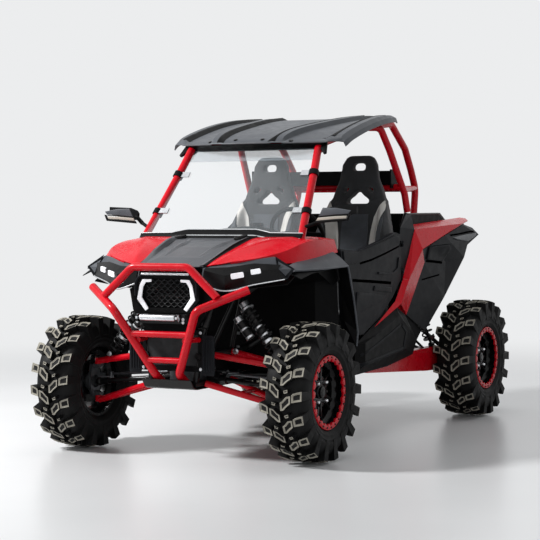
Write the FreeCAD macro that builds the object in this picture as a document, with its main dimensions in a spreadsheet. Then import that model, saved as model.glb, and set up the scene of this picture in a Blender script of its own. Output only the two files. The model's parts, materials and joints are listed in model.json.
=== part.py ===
import FreeCAD, Part
import math
import os
import Sketcher
from FreeCAD import Placement, Rotation, Vector

# Side by side sport vehicle for two people, sizes in millimetres.
# The left side of the vehicle is +X, its front faces -Y and +Z is up.
# Pieces are drawn from the front axle, so y counts rearwards from that axle.
# Each placement then moves the piece to the row frame, whose origin lies on
# the ground in the middle of the vehicle.

os.makedirs("parts", exist_ok=True)
doc = FreeCAD.newDocument("sport_utility")
sheet = doc.addObject("Spreadsheet::Sheet", "sizes")
value = {}


def size(name, number):
    row = "A%d" % (len(value) + 1)
    sheet.set(row, str(number))
    sheet.setAlias(row, name)
    value[name] = float(number)


# Overall layout
size("wheel_base", 2286)
size("front_overhang", 430)
size("tyre_radius", 368)
size("track_half", 707)
size("sill_half", 512)
size("floor_height", 400)

# Tyres
size("carcass_radius", 332)
size("tyre_half", 121)
size("bead_radius", 182)
size("lug_count", 18)

# Rims and beadlock rings
size("rim_half", 92)
size("rim_flange", 192)
size("hub_face", 28)
size("spoke_count", 6)
size("ring_outer", 195)
size("ring_inner", 160)
size("ring_thick", 12)
size("ring_bolts", 16)
size("stud_circle", 68.5)

# Steering and front suspension
size("kingpin_half", 620)
size("arm_tube", 34)
size("disc_radius", 118)
size("shaft_radius", 14)
size("wheel_rim_radius", 172)
size("wheel_rim_tube", 26)
size("wheel_height", 1180)
size("wheel_back", 640)
size("seat_half", 304)

# Tubes
size("cage_tube", 44)
size("bumper_tube", 44)
size("frame_tube", 40)

# Body panels
size("panel_wall", 4)
size("glass_wall", 5)
size("roof_wall", 8)
size("door_wall", 34)
size("floor_wall", 5)
size("cell_pitch", 27)
size("cell_rise", 14)
size("cell_rib", 4)
size("spring_wire", 10)
size("hitch_hole", 20)
doc.recompute()

front_axle = "sizes.front_overhang - (sizes.front_overhang + sizes.wheel_base + sizes.tyre_radius)/2"
front_axle_y = value["front_overhang"] - (value["front_overhang"] + value["wheel_base"]
                                          + value["tyre_radius"]) / 2
nodes = []


def at(name, more=0.0, times=1.0):
    """A number read from the sheet together with the expression behind it."""
    return (times * value[name] + more, "%.6g * sizes.%s + (%.6g)" % (times, name, more))


def number(item):
    return float(item[0]) if isinstance(item, tuple) else float(item)


def text(item):
    return item[1] if isinstance(item, tuple) else "%.6g" % item


def minus(item):
    if isinstance(item, tuple):
        return (-item[0], "-(%s)" % item[1])
    return -item


def plus(item, more):
    if isinstance(item, tuple) or isinstance(more, tuple):
        return (number(item) + number(more), "(%s) + (%s)" % (text(item), text(more)))
    return item + more


def place(thing):
    """Move a piece drawn from the front axle to the row frame."""
    turn = thing.Placement.Rotation
    start = thing.Placement.Base
    thing.Placement = Placement(Vector(start.x, front_axle_y + start.y, start.z), turn)
    thing.setExpression("Placement.Base.y", "%s + (%.6g)" % (front_axle, start.y))
    return thing


def body_plane(body, role):
    return [part for part in body.Origin.OriginFeatures if part.Role == role][0]


def draw(body, name, plane, outlines, offset=0.0, spin=None):
    """A sketch of closed outlines; every corner is held by two dimensions."""
    sketch = body.newObject("Sketcher::SketchObject", name)
    sketch.AttachmentSupport = [(body_plane(body, plane), "")]
    sketch.MapMode = "FlatFace"
    if spin is None:
        sketch.AttachmentOffset = Placement(Vector(0, 0, number(offset)), Rotation())
        if isinstance(offset, tuple):
            sketch.setExpression("AttachmentOffset.Base.z", offset[1])
    else:
        turn = Rotation(Vector(1, 0, 0), number(spin))
        sketch.AttachmentOffset = Placement(turn.multVec(Vector(0, 0, number(offset))), turn)
        sketch.setExpression("AttachmentOffset.Rotation.Angle", "(%s) * 1 deg" % text(spin))
        sketch.setExpression("AttachmentOffset.Base.y",
                             "-sin((%s) * 1 deg) * (%s)" % (text(spin), text(offset)))
        sketch.setExpression("AttachmentOffset.Base.z",
                             "cos((%s) * 1 deg) * (%s)" % (text(spin), text(offset)))
    for outline in outlines:
        if outline[0] == "circle":
            centre, radius = outline[1], outline[2]
            index = sketch.addGeometry(Part.Circle(Vector(number(centre[0]), number(centre[1]), 0),
                                                   Vector(0, 0, 1), number(radius)), False)
            hold(sketch, "DistanceX", index, 3, centre[0])
            hold(sketch, "DistanceY", index, 3, centre[1])
            key = sketch.addConstraint(Sketcher.Constraint("Radius", index, number(radius)))
            if isinstance(radius, tuple):
                sketch.setExpression("Constraints[%d]" % key, radius[1])
            continue
        first = sketch.GeometryCount
        count = len(outline)
        for index in range(count):
            here, there = outline[index], outline[(index + 1) % count]
            sketch.addGeometry(Part.LineSegment(Vector(number(here[0]), number(here[1]), 0),
                                                Vector(number(there[0]), number(there[1]), 0)), False)
        for index in range(count):
            sketch.addConstraint(Sketcher.Constraint("Coincident", first + index, 2,
                                                     first + (index + 1) % count, 1))
        for index in range(count):
            hold(sketch, "DistanceX", first + index, 1, outline[index][0])
            hold(sketch, "DistanceY", first + index, 1, outline[index][1])
    return sketch


def hold(sketch, kind, index, point, amount):
    key = sketch.addConstraint(Sketcher.Constraint(kind, -1, 1, index, point, number(amount)))
    if isinstance(amount, tuple):
        sketch.setExpression("Constraints[%d]" % key, amount[1])


def bind(thing, field, amount):
    setattr(thing, field, number(amount))
    if isinstance(amount, tuple):
        thing.setExpression(field, amount[1])


def new_body(name):
    return doc.addObject("PartDesign::Body", name)


def pad(body, name, plane, outlines, offset, length, back=False, both=False, spin=None):
    sketch = draw(body, name + "_sketch", plane, outlines, offset, spin)
    feature = body.newObject("PartDesign::Pad", name)
    feature.Profile = sketch
    bind(feature, "Length", length)
    feature.Reversed = back
    if both:
        feature.SideType = "Symmetric"
    return feature


def pocket(body, name, plane, outlines, offset, length, back=False, both=False):
    sketch = draw(body, name + "_sketch", plane, outlines, offset)
    feature = body.newObject("PartDesign::Pocket", name)
    feature.Profile = sketch
    bind(feature, "Length", length)
    feature.Reversed = back
    if both:
        feature.SideType = "Symmetric"
    return feature


def turned(body, name, outline):
    """Revolve a profile drawn in the XZ plane around the X axis of the body."""
    sketch = draw(body, name + "_sketch", "XZ_Plane", [outline])
    feature = body.newObject("PartDesign::Revolution", name)
    feature.Profile = sketch
    feature.ReferenceAxis = (sketch, ["H_Axis"])
    feature.Angle = 360
    return feature


def around(body, name, features, count):
    pattern = body.newObject("PartDesign::PolarPattern", name)
    pattern.Originals = features
    pattern.Axis = (body_plane(body, "X_Axis"), [""])
    pattern.Angle = 360
    pattern.Occurrences = int(number(count))
    pattern.setExpression("Occurrences", text(count))
    body.Tip = pattern
    return pattern


def feature(name, shape):
    thing = doc.addObject("Part::Feature", name)
    thing.Shape = shape
    return thing


def mirrored(thing, name):
    copy = doc.addObject("Part::Mirroring", name)
    copy.Source = thing
    copy.Base = Vector(0, 0, 0)
    copy.Normal = Vector(1, 0, 0)
    return copy


def pair(thing, name):
    copy = mirrored(thing, name + "_other")
    both = doc.addObject("Part::Compound", name)
    both.Links = [thing, copy]
    return both


def fused(name, things):
    both = doc.addObject("Part::MultiFuse", name)
    both.Shapes = things
    return both


def cut(name, base, tool):
    result = doc.addObject("Part::Cut", name)
    result.Base = base
    result.Tool = tool
    return result


def drawn(thing):
    """The shape of a piece as it was drawn, before it was placed."""
    shape = thing.Shape.copy()
    shape.Placement = Placement()
    return shape


def node(name, thing, moved=True):
    if moved:
        place(thing)
    thing.Label = name
    nodes.append(thing)
    return thing


def path(points, radius):
    """A wire of straight runs joined by arcs; a point may carry its own radius."""
    corners = [Vector(*point[:3]) for point in points]
    edges = []
    start = corners[0]
    for index in range(1, len(corners) - 1):
        here = corners[index]
        before = (corners[index - 1] - here).normalize()
        after = (corners[index + 1] - here).normalize()
        turn = math.pi - before.getAngle(after)
        bend = points[index][3] if len(points[index]) > 3 else radius
        if turn < 0.01:
            continue
        reach = bend * math.tan(turn / 2)
        inner = here + before * reach
        outer = here + after * reach
        middle = (before + after).normalize()
        crown = here + middle * (bend / math.cos(turn / 2) - bend)
        edges.append(Part.LineSegment(start, inner).toShape())
        edges.append(Part.Arc(inner, crown, outer).toShape())
        start = outer
    edges.append(Part.LineSegment(start, corners[-1]).toShape())
    return Part.Wire(edges)


def tube(points, diameter, radius=60.0):
    wire = path(points, radius)
    first = wire.Edges[0]
    axis = first.tangentAt(first.FirstParameter)
    ring = Part.Wire([Part.makeCircle(diameter / 2, Vector(*points[0][:3]), axis)])
    return wire.makePipeShell([ring], True, False)


def other_side(shape):
    return shape.mirror(Vector(0, 0, 0), Vector(1, 0, 0))


def join(shapes):
    whole = shapes[0].fuse(shapes[1:])
    return whole.removeSplitter()


def rod(start, end, radius):
    start, end = Vector(*start), Vector(*end)
    return Part.makeCylinder(radius, (end - start).Length, start, end - start)


def block(x0, x1, y0, y1, z0, z1):
    return Part.makeBox(x1 - x0, y1 - y0, z1 - z0, Vector(x0, y0, z0))


def slab(outline, direction):
    """A flat outline of points in space, pushed along a direction."""
    points = [Vector(*point) for point in outline]
    return Part.Face(Part.makePolygon(points + [points[0]])).extrude(Vector(*direction))


def facet(points):
    return Part.Face(Part.makePolygon(points + [points[0]]))


def solid_of(faces):
    shell = Part.makeShell(faces)
    shell.sewShape()
    solid = Part.makeSolid(shell)
    if solid.Volume < 0:
        solid.reverse()
    return solid


def moulded(points, faces, wall, core):
    """A moulded panel: outer facets over a list of points, given a wall towards the core point."""
    outer = [Vector(*point) for point in points]
    middle = Vector(*core)
    triangles = []
    for face in faces:
        for k in range(1, len(face) - 1):
            triangles.append((face[0], face[k], face[k + 1]))
    aimed = []
    sums = [Vector(0, 0, 0) for _ in outer]
    for a, b, c in triangles:
        normal = (outer[b] - outer[a]).cross(outer[c] - outer[a])
        if normal.Length < 1e-6:
            continue
        normal.normalize()
        centre = (outer[a] + outer[b] + outer[c]) * (1 / 3.0)
        if normal.dot(middle - centre) < 0:
            normal = normal * -1
        aimed.append(((a, b, c), normal))
        for index, other, last in ((a, b, c), (b, c, a), (c, a, b)):
            corner = (outer[other] - outer[index]).getAngle(outer[last] - outer[index])
            sums[index] = sums[index] + normal * corner
    units = [total.normalize() if total.Length > 1e-6 else total for total in sums]
    spread = [1.0 for _ in outer]
    for triangle, normal in aimed:
        for index in triangle:
            spread[index] = min(spread[index], max(0.45, units[index].dot(normal)))
    inner = [outer[k] + units[k] * (wall / spread[k]) for k in range(len(outer))]
    sides = {}
    shell = []
    for (a, b, c), _ in aimed:
        shell.append(facet([outer[a], outer[b], outer[c]]))
        shell.append(facet([inner[a], inner[b], inner[c]]))
        for edge in ((a, b), (b, c), (c, a)):
            key = (min(edge), max(edge))
            sides[key] = sides.get(key, 0) + 1
    for (a, b), times in sides.items():
        if times == 1:
            shell.append(facet([outer[a], outer[b], inner[b]]))
            shell.append(facet([outer[a], inner[b], inner[a]]))
    return solid_of(shell)


def skin(rows, wall, core):
    """The same for a plain grid of points."""
    high, wide = len(rows), len(rows[0])
    points = [point for row in rows for point in row]
    faces = []
    for i in range(high - 1):
        for j in range(wide - 1):
            a, b = i * wide + j, (i + 1) * wide + j
            c, d = b + 1, a + 1
            pa, pb, pc, pd = (Vector(*points[k]) for k in (a, b, c, d))
            if (pa - pc).Length < (pb - pd).Length:
                faces += [(a, b, c), (a, c, d)]
            else:
                faces += [(a, b, d), (b, c, d)]
    return moulded(points, faces, wall, core)


def ruled(stations):
    """A closed solid through a row of polygons with the same number of corners."""
    wires = [Part.makePolygon([Vector(*point) for point in station] + [Vector(*station[0])])
             for station in stations]
    return Part.makeLoft(wires, True, True)


def whole_pieces(shape, least=1500):
    """The solids of a cut shape without the chips that the cut leaves."""
    return Part.makeCompound([solid for solid in shape.Solids if solid.Volume > least])


def even(rows):
    """Complete rows given from the middle outwards with their mirror images."""
    return [[(-x, y, z) for x, y, z in reversed(row) if x > 0] + list(row) for row in rows]


# Tyre: a hollow carcass turned around X with chevron lugs in a polar pattern.
tyre = new_body("tyre_form")
turned(tyre, "carcass", [
    (at("rim_half", -6), at("bead_radius")), (at("rim_half", -6), at("bead_radius", 15)),
    (at("tyre_half", -18), at("bead_radius", 26)), (at("tyre_half", -3), at("carcass_radius", -82)),
    (at("tyre_half", -2), at("carcass_radius", -58)), (at("tyre_half", -8), at("carcass_radius", -34)),
    (at("tyre_half", -26), at("carcass_radius", -9)), (at("tyre_half", -46), at("carcass_radius")),
    (at("tyre_half", 46, -1), at("carcass_radius")), (at("tyre_half", 26, -1), at("carcass_radius", -9)),
    (at("tyre_half", 8, -1), at("carcass_radius", -34)), (at("tyre_half", 2, -1), at("carcass_radius", -58)),
    (at("tyre_half", 3, -1), at("carcass_radius", -82)), (at("tyre_half", 18, -1), at("bead_radius", 26)),
    (at("rim_half", 6, -1), at("bead_radius", 15)), (at("rim_half", 6, -1), at("bead_radius")),
    (at("rim_half", 22, -1), at("bead_radius")), (at("rim_half", 22, -1), at("bead_radius", 20)),
    (at("tyre_half", 17, -1), at("carcass_radius", -80)), (at("tyre_half", 16, -1), at("carcass_radius", -60)),
    (at("tyre_half", 21, -1), at("carcass_radius", -42)), (at("tyre_half", 36, -1), at("carcass_radius", -23)),
    (at("tyre_half", 50, -1), at("carcass_radius", -14)), (at("tyre_half", -50), at("carcass_radius", -14)),
    (at("tyre_half", -36), at("carcass_radius", -23)), (at("tyre_half", -21), at("carcass_radius", -42)),
    (at("tyre_half", -16), at("carcass_radius", -60)), (at("tyre_half", -17), at("carcass_radius", -80)),
    (at("rim_half", -22), at("bead_radius", 20)), (at("rim_half", -22), at("bead_radius"))])
for hand, spin in ((1, (0.0, "0 * sizes.lug_count")),
                   (-1, (180 / value["lug_count"], "180 / sizes.lug_count"))):
    bar = [(at("tyre_half", -115 * hand, hand), -30), (at("tyre_half", -92 * hand, hand), -32),
           (at("tyre_half", -58 * hand, hand), -4), (at("tyre_half", 0, hand), 2),
           (at("tyre_half", 0, hand), 32), (at("tyre_half", -48 * hand, hand), 30),
           (at("tyre_half", -76 * hand, hand), 18), (at("tyre_half", -90 * hand, hand), 0),
           (at("tyre_half", -115 * hand, hand), 0)]
    side = "outer" if hand > 0 else "inner"
    low = at("tyre_radius", 0, -1)
    lug = pad(tyre, "lug_" + side, "XY_Plane", [bar], low, 42, spin=spin)
    corner = [(at("tyre_half", -16 * hand, hand), 1), (at("tyre_half", 0, hand), 2),
              (at("tyre_half", 0, hand), 32), (at("tyre_half", -16 * hand, hand), 31)]
    shoulder = pad(tyre, "shoulder_" + side, "XY_Plane", [corner], low, 84, spin=spin)
    around(tyre, "lugs_" + side, [lug, shoulder], at("lug_count"))
doc.recompute()

# Rim: barrel, split spokes, hub flange, brake disc and wheel nuts.
rim = new_body("rim_form")
turned(rim, "barrel", [
    (at("rim_half", 0, -1), at("rim_flange")), (at("rim_half", 6, -1), at("rim_flange")),
    (at("rim_half", 6, -1), at("bead_radius")), (at("rim_half", 34, -1), at("bead_radius")),
    (at("rim_half", 50, -1), at("bead_radius", -22)), (at("rim_half", -54), at("bead_radius", -22)),
    (at("rim_half", -38), at("bead_radius")), (at("rim_half", -6), at("bead_radius")),
    (at("rim_half", -6), at("rim_flange")), (at("rim_half"), at("rim_flange")),
    (at("rim_half"), at("bead_radius", -5)), (at("rim_half", -34), at("bead_radius", -5)),
    (at("rim_half", -50), at("bead_radius", -27)), (at("rim_half", 46, -1), at("bead_radius", -27)),
    (at("rim_half", 30, -1), at("bead_radius", -5)), (at("rim_half", 0, -1), at("bead_radius", -5))])
pad(rim, "centre_disc", "YZ_Plane", [("circle", (0, 0), at("stud_circle", 20))], at("hub_face"), 16)
for index, slant in enumerate((-1, 1)):
    bar = [(slant * 12 - 8, 60), (slant * 12 + 8, 60), (slant * 26 + 8, at("bead_radius", -26)),
           (slant * 26 - 8, at("bead_radius", -26))]
    pad(rim, "spoke_%d" % index, "YZ_Plane", [bar], at("hub_face"), 20)
spokes = [doc.getObject("spoke_0"), doc.getObject("spoke_1")]
around(rim, "spokes", spokes, at("spoke_count"))
pocket(rim, "hub_bore", "YZ_Plane", [("circle", (0, 0), 32.3)], at("hub_face", -1), 20, back=True)
turned(rim, "cap", [(at("hub_face", 8), 0), (at("hub_face", 8), 34), (at("hub_face", 22), 34),
                    (at("hub_face", 26), 29), (at("hub_face", 26), 0)])
turned(rim, "disc_hat", [(at("hub_face", -12), 32.3), (at("hub_face", -12), 84), (at("hub_face"), 84),
                         (at("hub_face"), 32.3)])
turned(rim, "disc_neck", [(at("hub_face", -60), 64), (at("hub_face", -60), at("disc_radius")),
                          (at("hub_face", -54), at("disc_radius")), (at("hub_face", -54), 70),
                          (at("hub_face", -12), 70), (at("hub_face", -12), 64)])
nut = pad(rim, "nut", "YZ_Plane", [[(at("stud_circle", 9), 0), (at("stud_circle", 4.5), 7.8),
                                    (at("stud_circle", -4.5), 7.8), (at("stud_circle", -9), 0),
                                    (at("stud_circle", -4.5), -7.8), (at("stud_circle", 4.5), -7.8)]],
          at("hub_face", 16), 12)
around(rim, "nuts", [nut], (4.0, "4"))

# Beadlock ring with its clamping bolts.
ring = new_body("ring_form")
turned(ring, "clamp_ring", [
    (at("rim_half"), at("ring_inner", 14)), (at("rim_half"), at("ring_outer", -2)),
    (at("rim_half", 2), at("ring_outer")),
    (plus(at("rim_half", -3), at("ring_thick")), at("ring_outer")),
    (plus(at("rim_half"), at("ring_thick")), at("ring_outer", -4)),
    (plus(at("rim_half"), at("ring_thick")), at("ring_inner", 5)),
    (plus(at("rim_half", -4), at("ring_thick")), at("ring_inner"))])
bolt = pad(ring, "bolt", "YZ_Plane", [[
    (at("ring_outer", -6), 0), (at("ring_outer", -9.5), 6), (at("ring_outer", -16.5), 6),
    (at("ring_outer", -20), 0), (at("ring_outer", -16.5), -6), (at("ring_outer", -9.5), -6)]],
    plus(at("rim_half"), at("ring_thick")), 5)
around(ring, "bolts", [bolt], at("ring_bolts"))
doc.recompute()


def wheel(corner, hand, reach):
    """Set tyre, rim and ring at one corner; the right side is the mirror image."""
    for part, form in (("tyre", tyre), ("rim", rim), ("beadlock", ring)):
        name = "%s_%s" % (part, corner)
        if hand > 0:
            piece = doc.addObject("Part::Compound", name)
            piece.Links = [form]
        else:
            piece = mirrored(form, name)
        piece.Placement = Placement(Vector(hand * value["track_half"], reach, value["tyre_radius"]),
                                    Rotation())
        piece.setExpression("Placement.Base.x", "%d * sizes.track_half" % hand)
        piece.setExpression("Placement.Base.z", "sizes.tyre_radius")
        node(name, piece)
        if reach:
            piece.setExpression("Placement.Base.y", "%s + sizes.wheel_base" % front_axle)


wheel("fl", 1, 0)
wheel("fr", -1, 0)
wheel("rl", 1, value["wheel_base"])
wheel("rr", -1, value["wheel_base"])
doc.recompute()

# Steered knuckle: ring shaped upright round the joint of the half shaft.
knuckle = new_body("knuckle_form")
pad(knuckle, "upright", "YZ_Plane", [[(-34, -77), (34, -77), (48, -30), (48, 34), (32, 97), (-32, 97),
                                     (-48, 34), (-48, -30)], ("circle", (0, 0), 36)], 20, 16)
pad(knuckle, "lower_foot", "XZ_Plane", [[(-17, -77), (36, -77), (36, -52), (22, -50), (-17, -62)]], 0, 40,
    both=True)
pad(knuckle, "upper_foot", "XZ_Plane", [[(-17, 97), (-17, 82), (22, 70), (36, 74), (36, 97)]], 0, 40,
    both=True)
turned(knuckle, "bearing_housing", [(30, 36), (30, 56), (52, 56), (52, 46), (98, 31.8), (118, 31.8),
                                    (118, 20), (40, 36)])
pad(knuckle, "caliper_bracket", "YZ_Plane", [[(30, -30), (112, -30), (112, 30), (30, 30)]], 34, 10)
pad(knuckle, "caliper_inner", "YZ_Plane", [[(84, -38), (134, -34), (134, 34), (84, 38)]], 42, 11)
pad(knuckle, "caliper_bridge", "YZ_Plane", [[(121, -34), (134, -34), (134, 34), (121, 34)]], 52, 12)
pad(knuckle, "caliper_outer", "YZ_Plane", [[(84, -38), (134, -34), (134, 34), (84, 38)]], 63, 10)
pad(knuckle, "steering_arm", "XY_Plane", [[(21, 24), (35, 24), (35, 44), (-8, 112), (-30, 112), (-34, 92),
                                           (-24, 84), (21, 34)]], 7.6, 14)
for name, hand in (("knuckle_left", 1), ("knuckle_right", -1)):
    if hand > 0:
        piece = doc.addObject("Part::Compound", name)
        piece.Links = [knuckle]
    else:
        piece = mirrored(knuckle, name)
    piece.Placement = Placement(Vector(hand * value["kingpin_half"], 0, value["tyre_radius"]), Rotation())
    piece.setExpression("Placement.Base.x", "%d * sizes.kingpin_half" % hand)
    piece.setExpression("Placement.Base.z", "sizes.tyre_radius")
    node(name, piece)

# Rack with its two tie rods, which slides across the vehicle as one piece.
pin_x = value["kingpin_half"] - 20
pin_z = value["tyre_radius"] + 32
side = [rod((0, 100, 430), (215, 100, 430), 11), rod((205, 100, 430), (pin_x - 6, 100, pin_z + 2), 8),
        rod((pin_x, 100, pin_z - 10), (pin_x, 100, pin_z + 14), 13)]
node("tie_rods", feature("tie_rods", join(side + [other_side(shape) for shape in side])))

# Chassis tubes, welded as one frame.
width = value["frame_tube"]
runs = [
    tube([(130, -240, 400), (130, 330, 400), (300, 560, 390), (300, 1480, 390), (200, 1680, 400),
          (200, 2440, 430)], width, 80),
    tube([(160, -240, 552), (160, 300, 560), (240, 430, 640)], width - 4, 80),
    tube([(131, -215, 401), (160, -215, 552), (190, -215, 700)], width - 8, 50),
    tube([(189, -215, 699), (200, -150, 850), (290, 0, 862), (430, 200, 1010), (505, 275, 1120)], width - 2, 40),
    rod((161, 120, 555), (286, 14, 855), 12), rod((161, -120, 553), (270, -26, 858), 12),
    rod((-189, -215, 700), (189, -215, 700), 14), rod((-288, 0, 861), (288, 0, 861), 15),
    rod((-130, -216, 400), (130, -216, 400), 14), rod((-175, 400, 397), (175, 400, 397), 14),
    rod((-300, 1440, 390), (300, 1440, 390), 15), rod((-200, 2420, 429), (200, 2420, 429), 15),
    tube([(300, 1400, 391), (330, 1580, 700), (440, 1640, 1010), (536, 1650, 1290)], width - 4, 80),
    tube([(201, 2100, 417), (240, 2130, 700), (300, 2150, 925)], width - 6, 80),
    tube([(296, 2149, 918), (422, 1631, 960)], width - 8), rod((-300, 2148, 921), (300, 2148, 921), 14),
    rod((-432, 1636, 985), (432, 1636, 985), 14),
    rod((201, 2380, 427), (292, 2165, 905), 13),
    rod((300, 1012, 400), (517, 1012, 400), 15),
]
left = [run for run in runs if run.BoundBox.XMin > 0]
frame_shape = join(runs + [other_side(run) for run in left])
housing = rod((-150, 100, 430), (150, 100, 430), 22)
stay = [block(-146, -124, 86, 114, 402, 428), block(124, 146, 86, 114, 402, 428)]
frame_shape = join([frame_shape, housing] + stay).cut(rod((-160, 100, 430), (160, 100, 430), 11.5))
frame = feature("frame", frame_shape)
node("frame", frame)

# Hitch plate, welded to the rear cross tube.
hitch = new_body("hitch_body")
pad(hitch, "hitch_sheet", "XY_Plane", [[(-75, 2418), (75, 2418), (62, 2470), (40, 2512), (-40, 2512), (-62, 2470)],
                                       ("circle", (0, 2482), at("hitch_hole", 0, 0.5))], 424, 12)
doc.recompute()
node("hitch_plate", feature("hitch_plate", drawn(hitch).cut(frame_shape)))

# Front wishbones, red.
tube_size = value["arm_tube"]
low = [rod((150, -140, 400), (606, -9, 267), tube_size / 2), rod((150, 140, 400), (606, 9, 267), tube_size / 2),
       rod((330, -88, 352), (330, 88, 352), 11)]
low.append(Part.makeCylinder(19, 34, Vector(value["kingpin_half"], 0, value["tyre_radius"] - 111.5)))
top = [rod((176, -110, 552), (606, -9, 484), tube_size / 2), rod((176, 110, 552), (606, 9, 484), tube_size / 2)]
top.append(Part.makeCylinder(19, 34, Vector(value["kingpin_half"], 0, value["tyre_radius"] + 97.5)))
top.append(block(500, 556, -26, 26, 496, 512))
low, top = join(low), join(top)
arms = Part.makeCompound([low, top, other_side(low), other_side(top)]).cut(frame_shape)
node("front_arms", feature("front_arms", arms))

# Coil over shocks: body, spring, shaft and reservoir.
def shock(lower, upper, coil, body_radius, reservoir):
    start, end = Vector(*lower), Vector(*upper)
    axis = (end - start).normalize()
    length = (end - start).Length
    parts = [Part.makeCylinder(14, 40, start - Vector(0, 20, 0), Vector(0, 1, 0)),
             Part.makeCylinder(14, 40, end - Vector(0, 20, 0), Vector(0, 1, 0)),
             rod(start, end, 9),
             Part.makeCylinder(body_radius, length * 0.5, start + axis * (length * 0.45), axis),
             Part.makeCylinder(coil, 8, start + axis * 40, axis),
             Part.makeCylinder(coil, 8, start + axis * (length - 34), axis)]
    if reservoir:
        base = Vector(*reservoir)
        parts.append(Part.makeCylinder(23, length * 0.36, base, axis))
        parts.append(rod(base + axis * (length * 0.3), end - axis * 22, 9))
    return join(parts)


def spring(lower, upper, coil, wire, turns):
    """A round wire wound between the two collars of a shock."""
    start, end = Vector(*lower), Vector(*upper)
    axis = (end - start).normalize()
    length = (end - start).Length - 34 - 48
    path = Part.makeHelix((length - wire) / turns, length - wire, coil - wire / 2)
    ring = Part.Wire(Part.makeCircle(wire / 2, Vector(coil - wire / 2, 0, 0), Vector(0, 1, 0)))
    wound = Part.Wire(path.Edges).makePipeShell([ring], True, True)
    wound.Placement = Placement(start + axis * (48 + wire / 2), Rotation(Vector(0, 0, 1), axis))
    return wound


front_ends = ((528, 0, 526), (306, 0, 822))
rear_ends = ((545, 2010, 464), (330, 2110, 890))
front_shock = shock(*front_ends, 36, 23, (372, -44, 640))
rear_shock = shock(*rear_ends, 38, 25, None)
coils = [spring(*front_ends, 36, value["spring_wire"], 9), spring(*rear_ends, 38, value["spring_wire"], 11)]
shocks = Part.makeCompound([front_shock, rear_shock, other_side(front_shock), other_side(rear_shock)])

# Rear suspension: boxed trailing arms, hub carriers and lateral rods.
arm = new_body("trailing_arm_form")
pad(arm, "arm_box", "YZ_Plane", [[(985, 374), (985, 426), (1080, 446), (1560, 452), (2060, 452),
                                  (2150, 444), (2380, 440), (2380, 298), (2150, 300), (1850, 312), (1500, 338)]], 517, 56)
pocket(arm, "shaft_hole", "YZ_Plane", [("circle", (at("wheel_base"), at("tyre_radius")), 38)], 545, 120, both=True)
arm_pair = pair(arm, "trailing_arms")
node("trailing_arms", arm_pair)
carrier = new_body("carrier_form")
turned(carrier, "carrier_body", [(-47, 36), (-47, 64), (30, 64), (52, 56), (52, 46), (98, 31.8), (118, 31.8),
                                 (118, 20), (40, 36)])
pad(carrier, "caliper_bracket", "YZ_Plane", [[(40, -30), (112, -30), (112, 30), (40, 30)]], 34, 10)
pad(carrier, "caliper_inner", "YZ_Plane", [[(84, -38), (134, -34), (134, 34), (84, 38)]], 42, 11)
pad(carrier, "caliper_bridge", "YZ_Plane", [[(121, -34), (134, -34), (134, 34), (121, 34)]], 52, 12)
pad(carrier, "caliper_outer", "YZ_Plane", [[(84, -38), (134, -34), (134, 34), (84, 38)]], 63, 10)
carrier.Placement = Placement(Vector(value["kingpin_half"], value["wheel_base"], value["tyre_radius"]),
                              Rotation())
carrier.setExpression("Placement.Base.x", "sizes.kingpin_half")
carrier.setExpression("Placement.Base.y", "sizes.wheel_base")
carrier.setExpression("Placement.Base.z", "sizes.tyre_radius")
node("rear_hubs", pair(carrier, "rear_hubs"))
doc.recompute()
base_y = value["wheel_base"]
links = [rod((196, base_y + 110, 431), (519, base_y + 60, 345), 13),
         rod((246, base_y - 150, 690), (519, base_y - 20, 420), 13),
         rod((196, base_y - 60, 424), (519, base_y - 10, 335), 13)]
bar = tube([(0, 1690, 560), (390, 1690, 560), (430, 1740, 560), (430, 1912, 540)], 24, 40)
bar = join([bar, rod((430, 1900, 541), (545, 1900, 440), 8)])
links.append(bar)
left_links = [link for link in links]
link_shape = Part.makeCompound([link.cut(frame_shape) for link in left_links[:3]]
                               + [other_side(link.cut(frame_shape)) for link in left_links[:3]]
                               + [join([bar, other_side(bar)]).cut(frame_shape)])
link_shape = link_shape.cut(drawn(arm_pair))
node("rear_links", feature("rear_links", link_shape))
shocks = shocks.cut(Part.makeCompound([frame_shape, arms, link_shape]))
shocks = shocks.cut(drawn(arm_pair))
node("shocks", feature("shocks", shocks))
springs = Part.makeCompound(coils + [other_side(coil) for coil in coils]).cut(shocks)
node("springs", feature("springs", springs))

# Drive line: engine with its gearbox, front gearbox and half shafts.
engine = new_body("engine_form")
pad(engine, "crankcase", "YZ_Plane", [[(1710, 416), (2070, 416), (2070, 470), (base_y + 120, 470),
                                       (base_y + 120, 540), (2070, 640), (2040, 700), (2000, 850),
                                       (1780, 850), (1710, 700)]], 0, 300, both=True)
pad(engine, "gearbox", "YZ_Plane", [[(base_y - 90, 350), (base_y + 80, 350), (base_y + 80, 480),
                                     (base_y - 90, 480)]], 0, 200, both=True)
doc.recompute()
engine_shape = drawn(engine).cut(frame_shape)
node("engine_block", feature("engine_block", engine_shape))
front_box = block(-92, 92, -105, 66, value["floor_height"] - 20, 470)
front_box = front_box.cut(frame_shape)
shafts = []
for reach, inner, high in ((0, 92, 420), (base_y, 100, 420)):
    outer = Vector(value["kingpin_half"] - 8, reach, value["tyre_radius"])
    start = Vector(inner, reach, high)
    way = (outer - start).normalize()
    parts = [rod(start, outer, value["shaft_radius"]), Part.makeSphere(24, outer),
             rod(outer - way * 62, outer - way * 8, 20), rod(start + way * 2, start + way * 70, 32),
             rod(start + way * 70, start + way * 110, 24)]
    shafts.append(join(parts).cut(frame_shape).cut(engine_shape))
shafts += [other_side(shaft) for shaft in shafts]
node("front_gearbox", feature("front_gearbox", front_box))
drive = Part.makeCompound(shafts).cut(front_box)
node("drive_shafts", feature("drive_shafts", drive))

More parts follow.
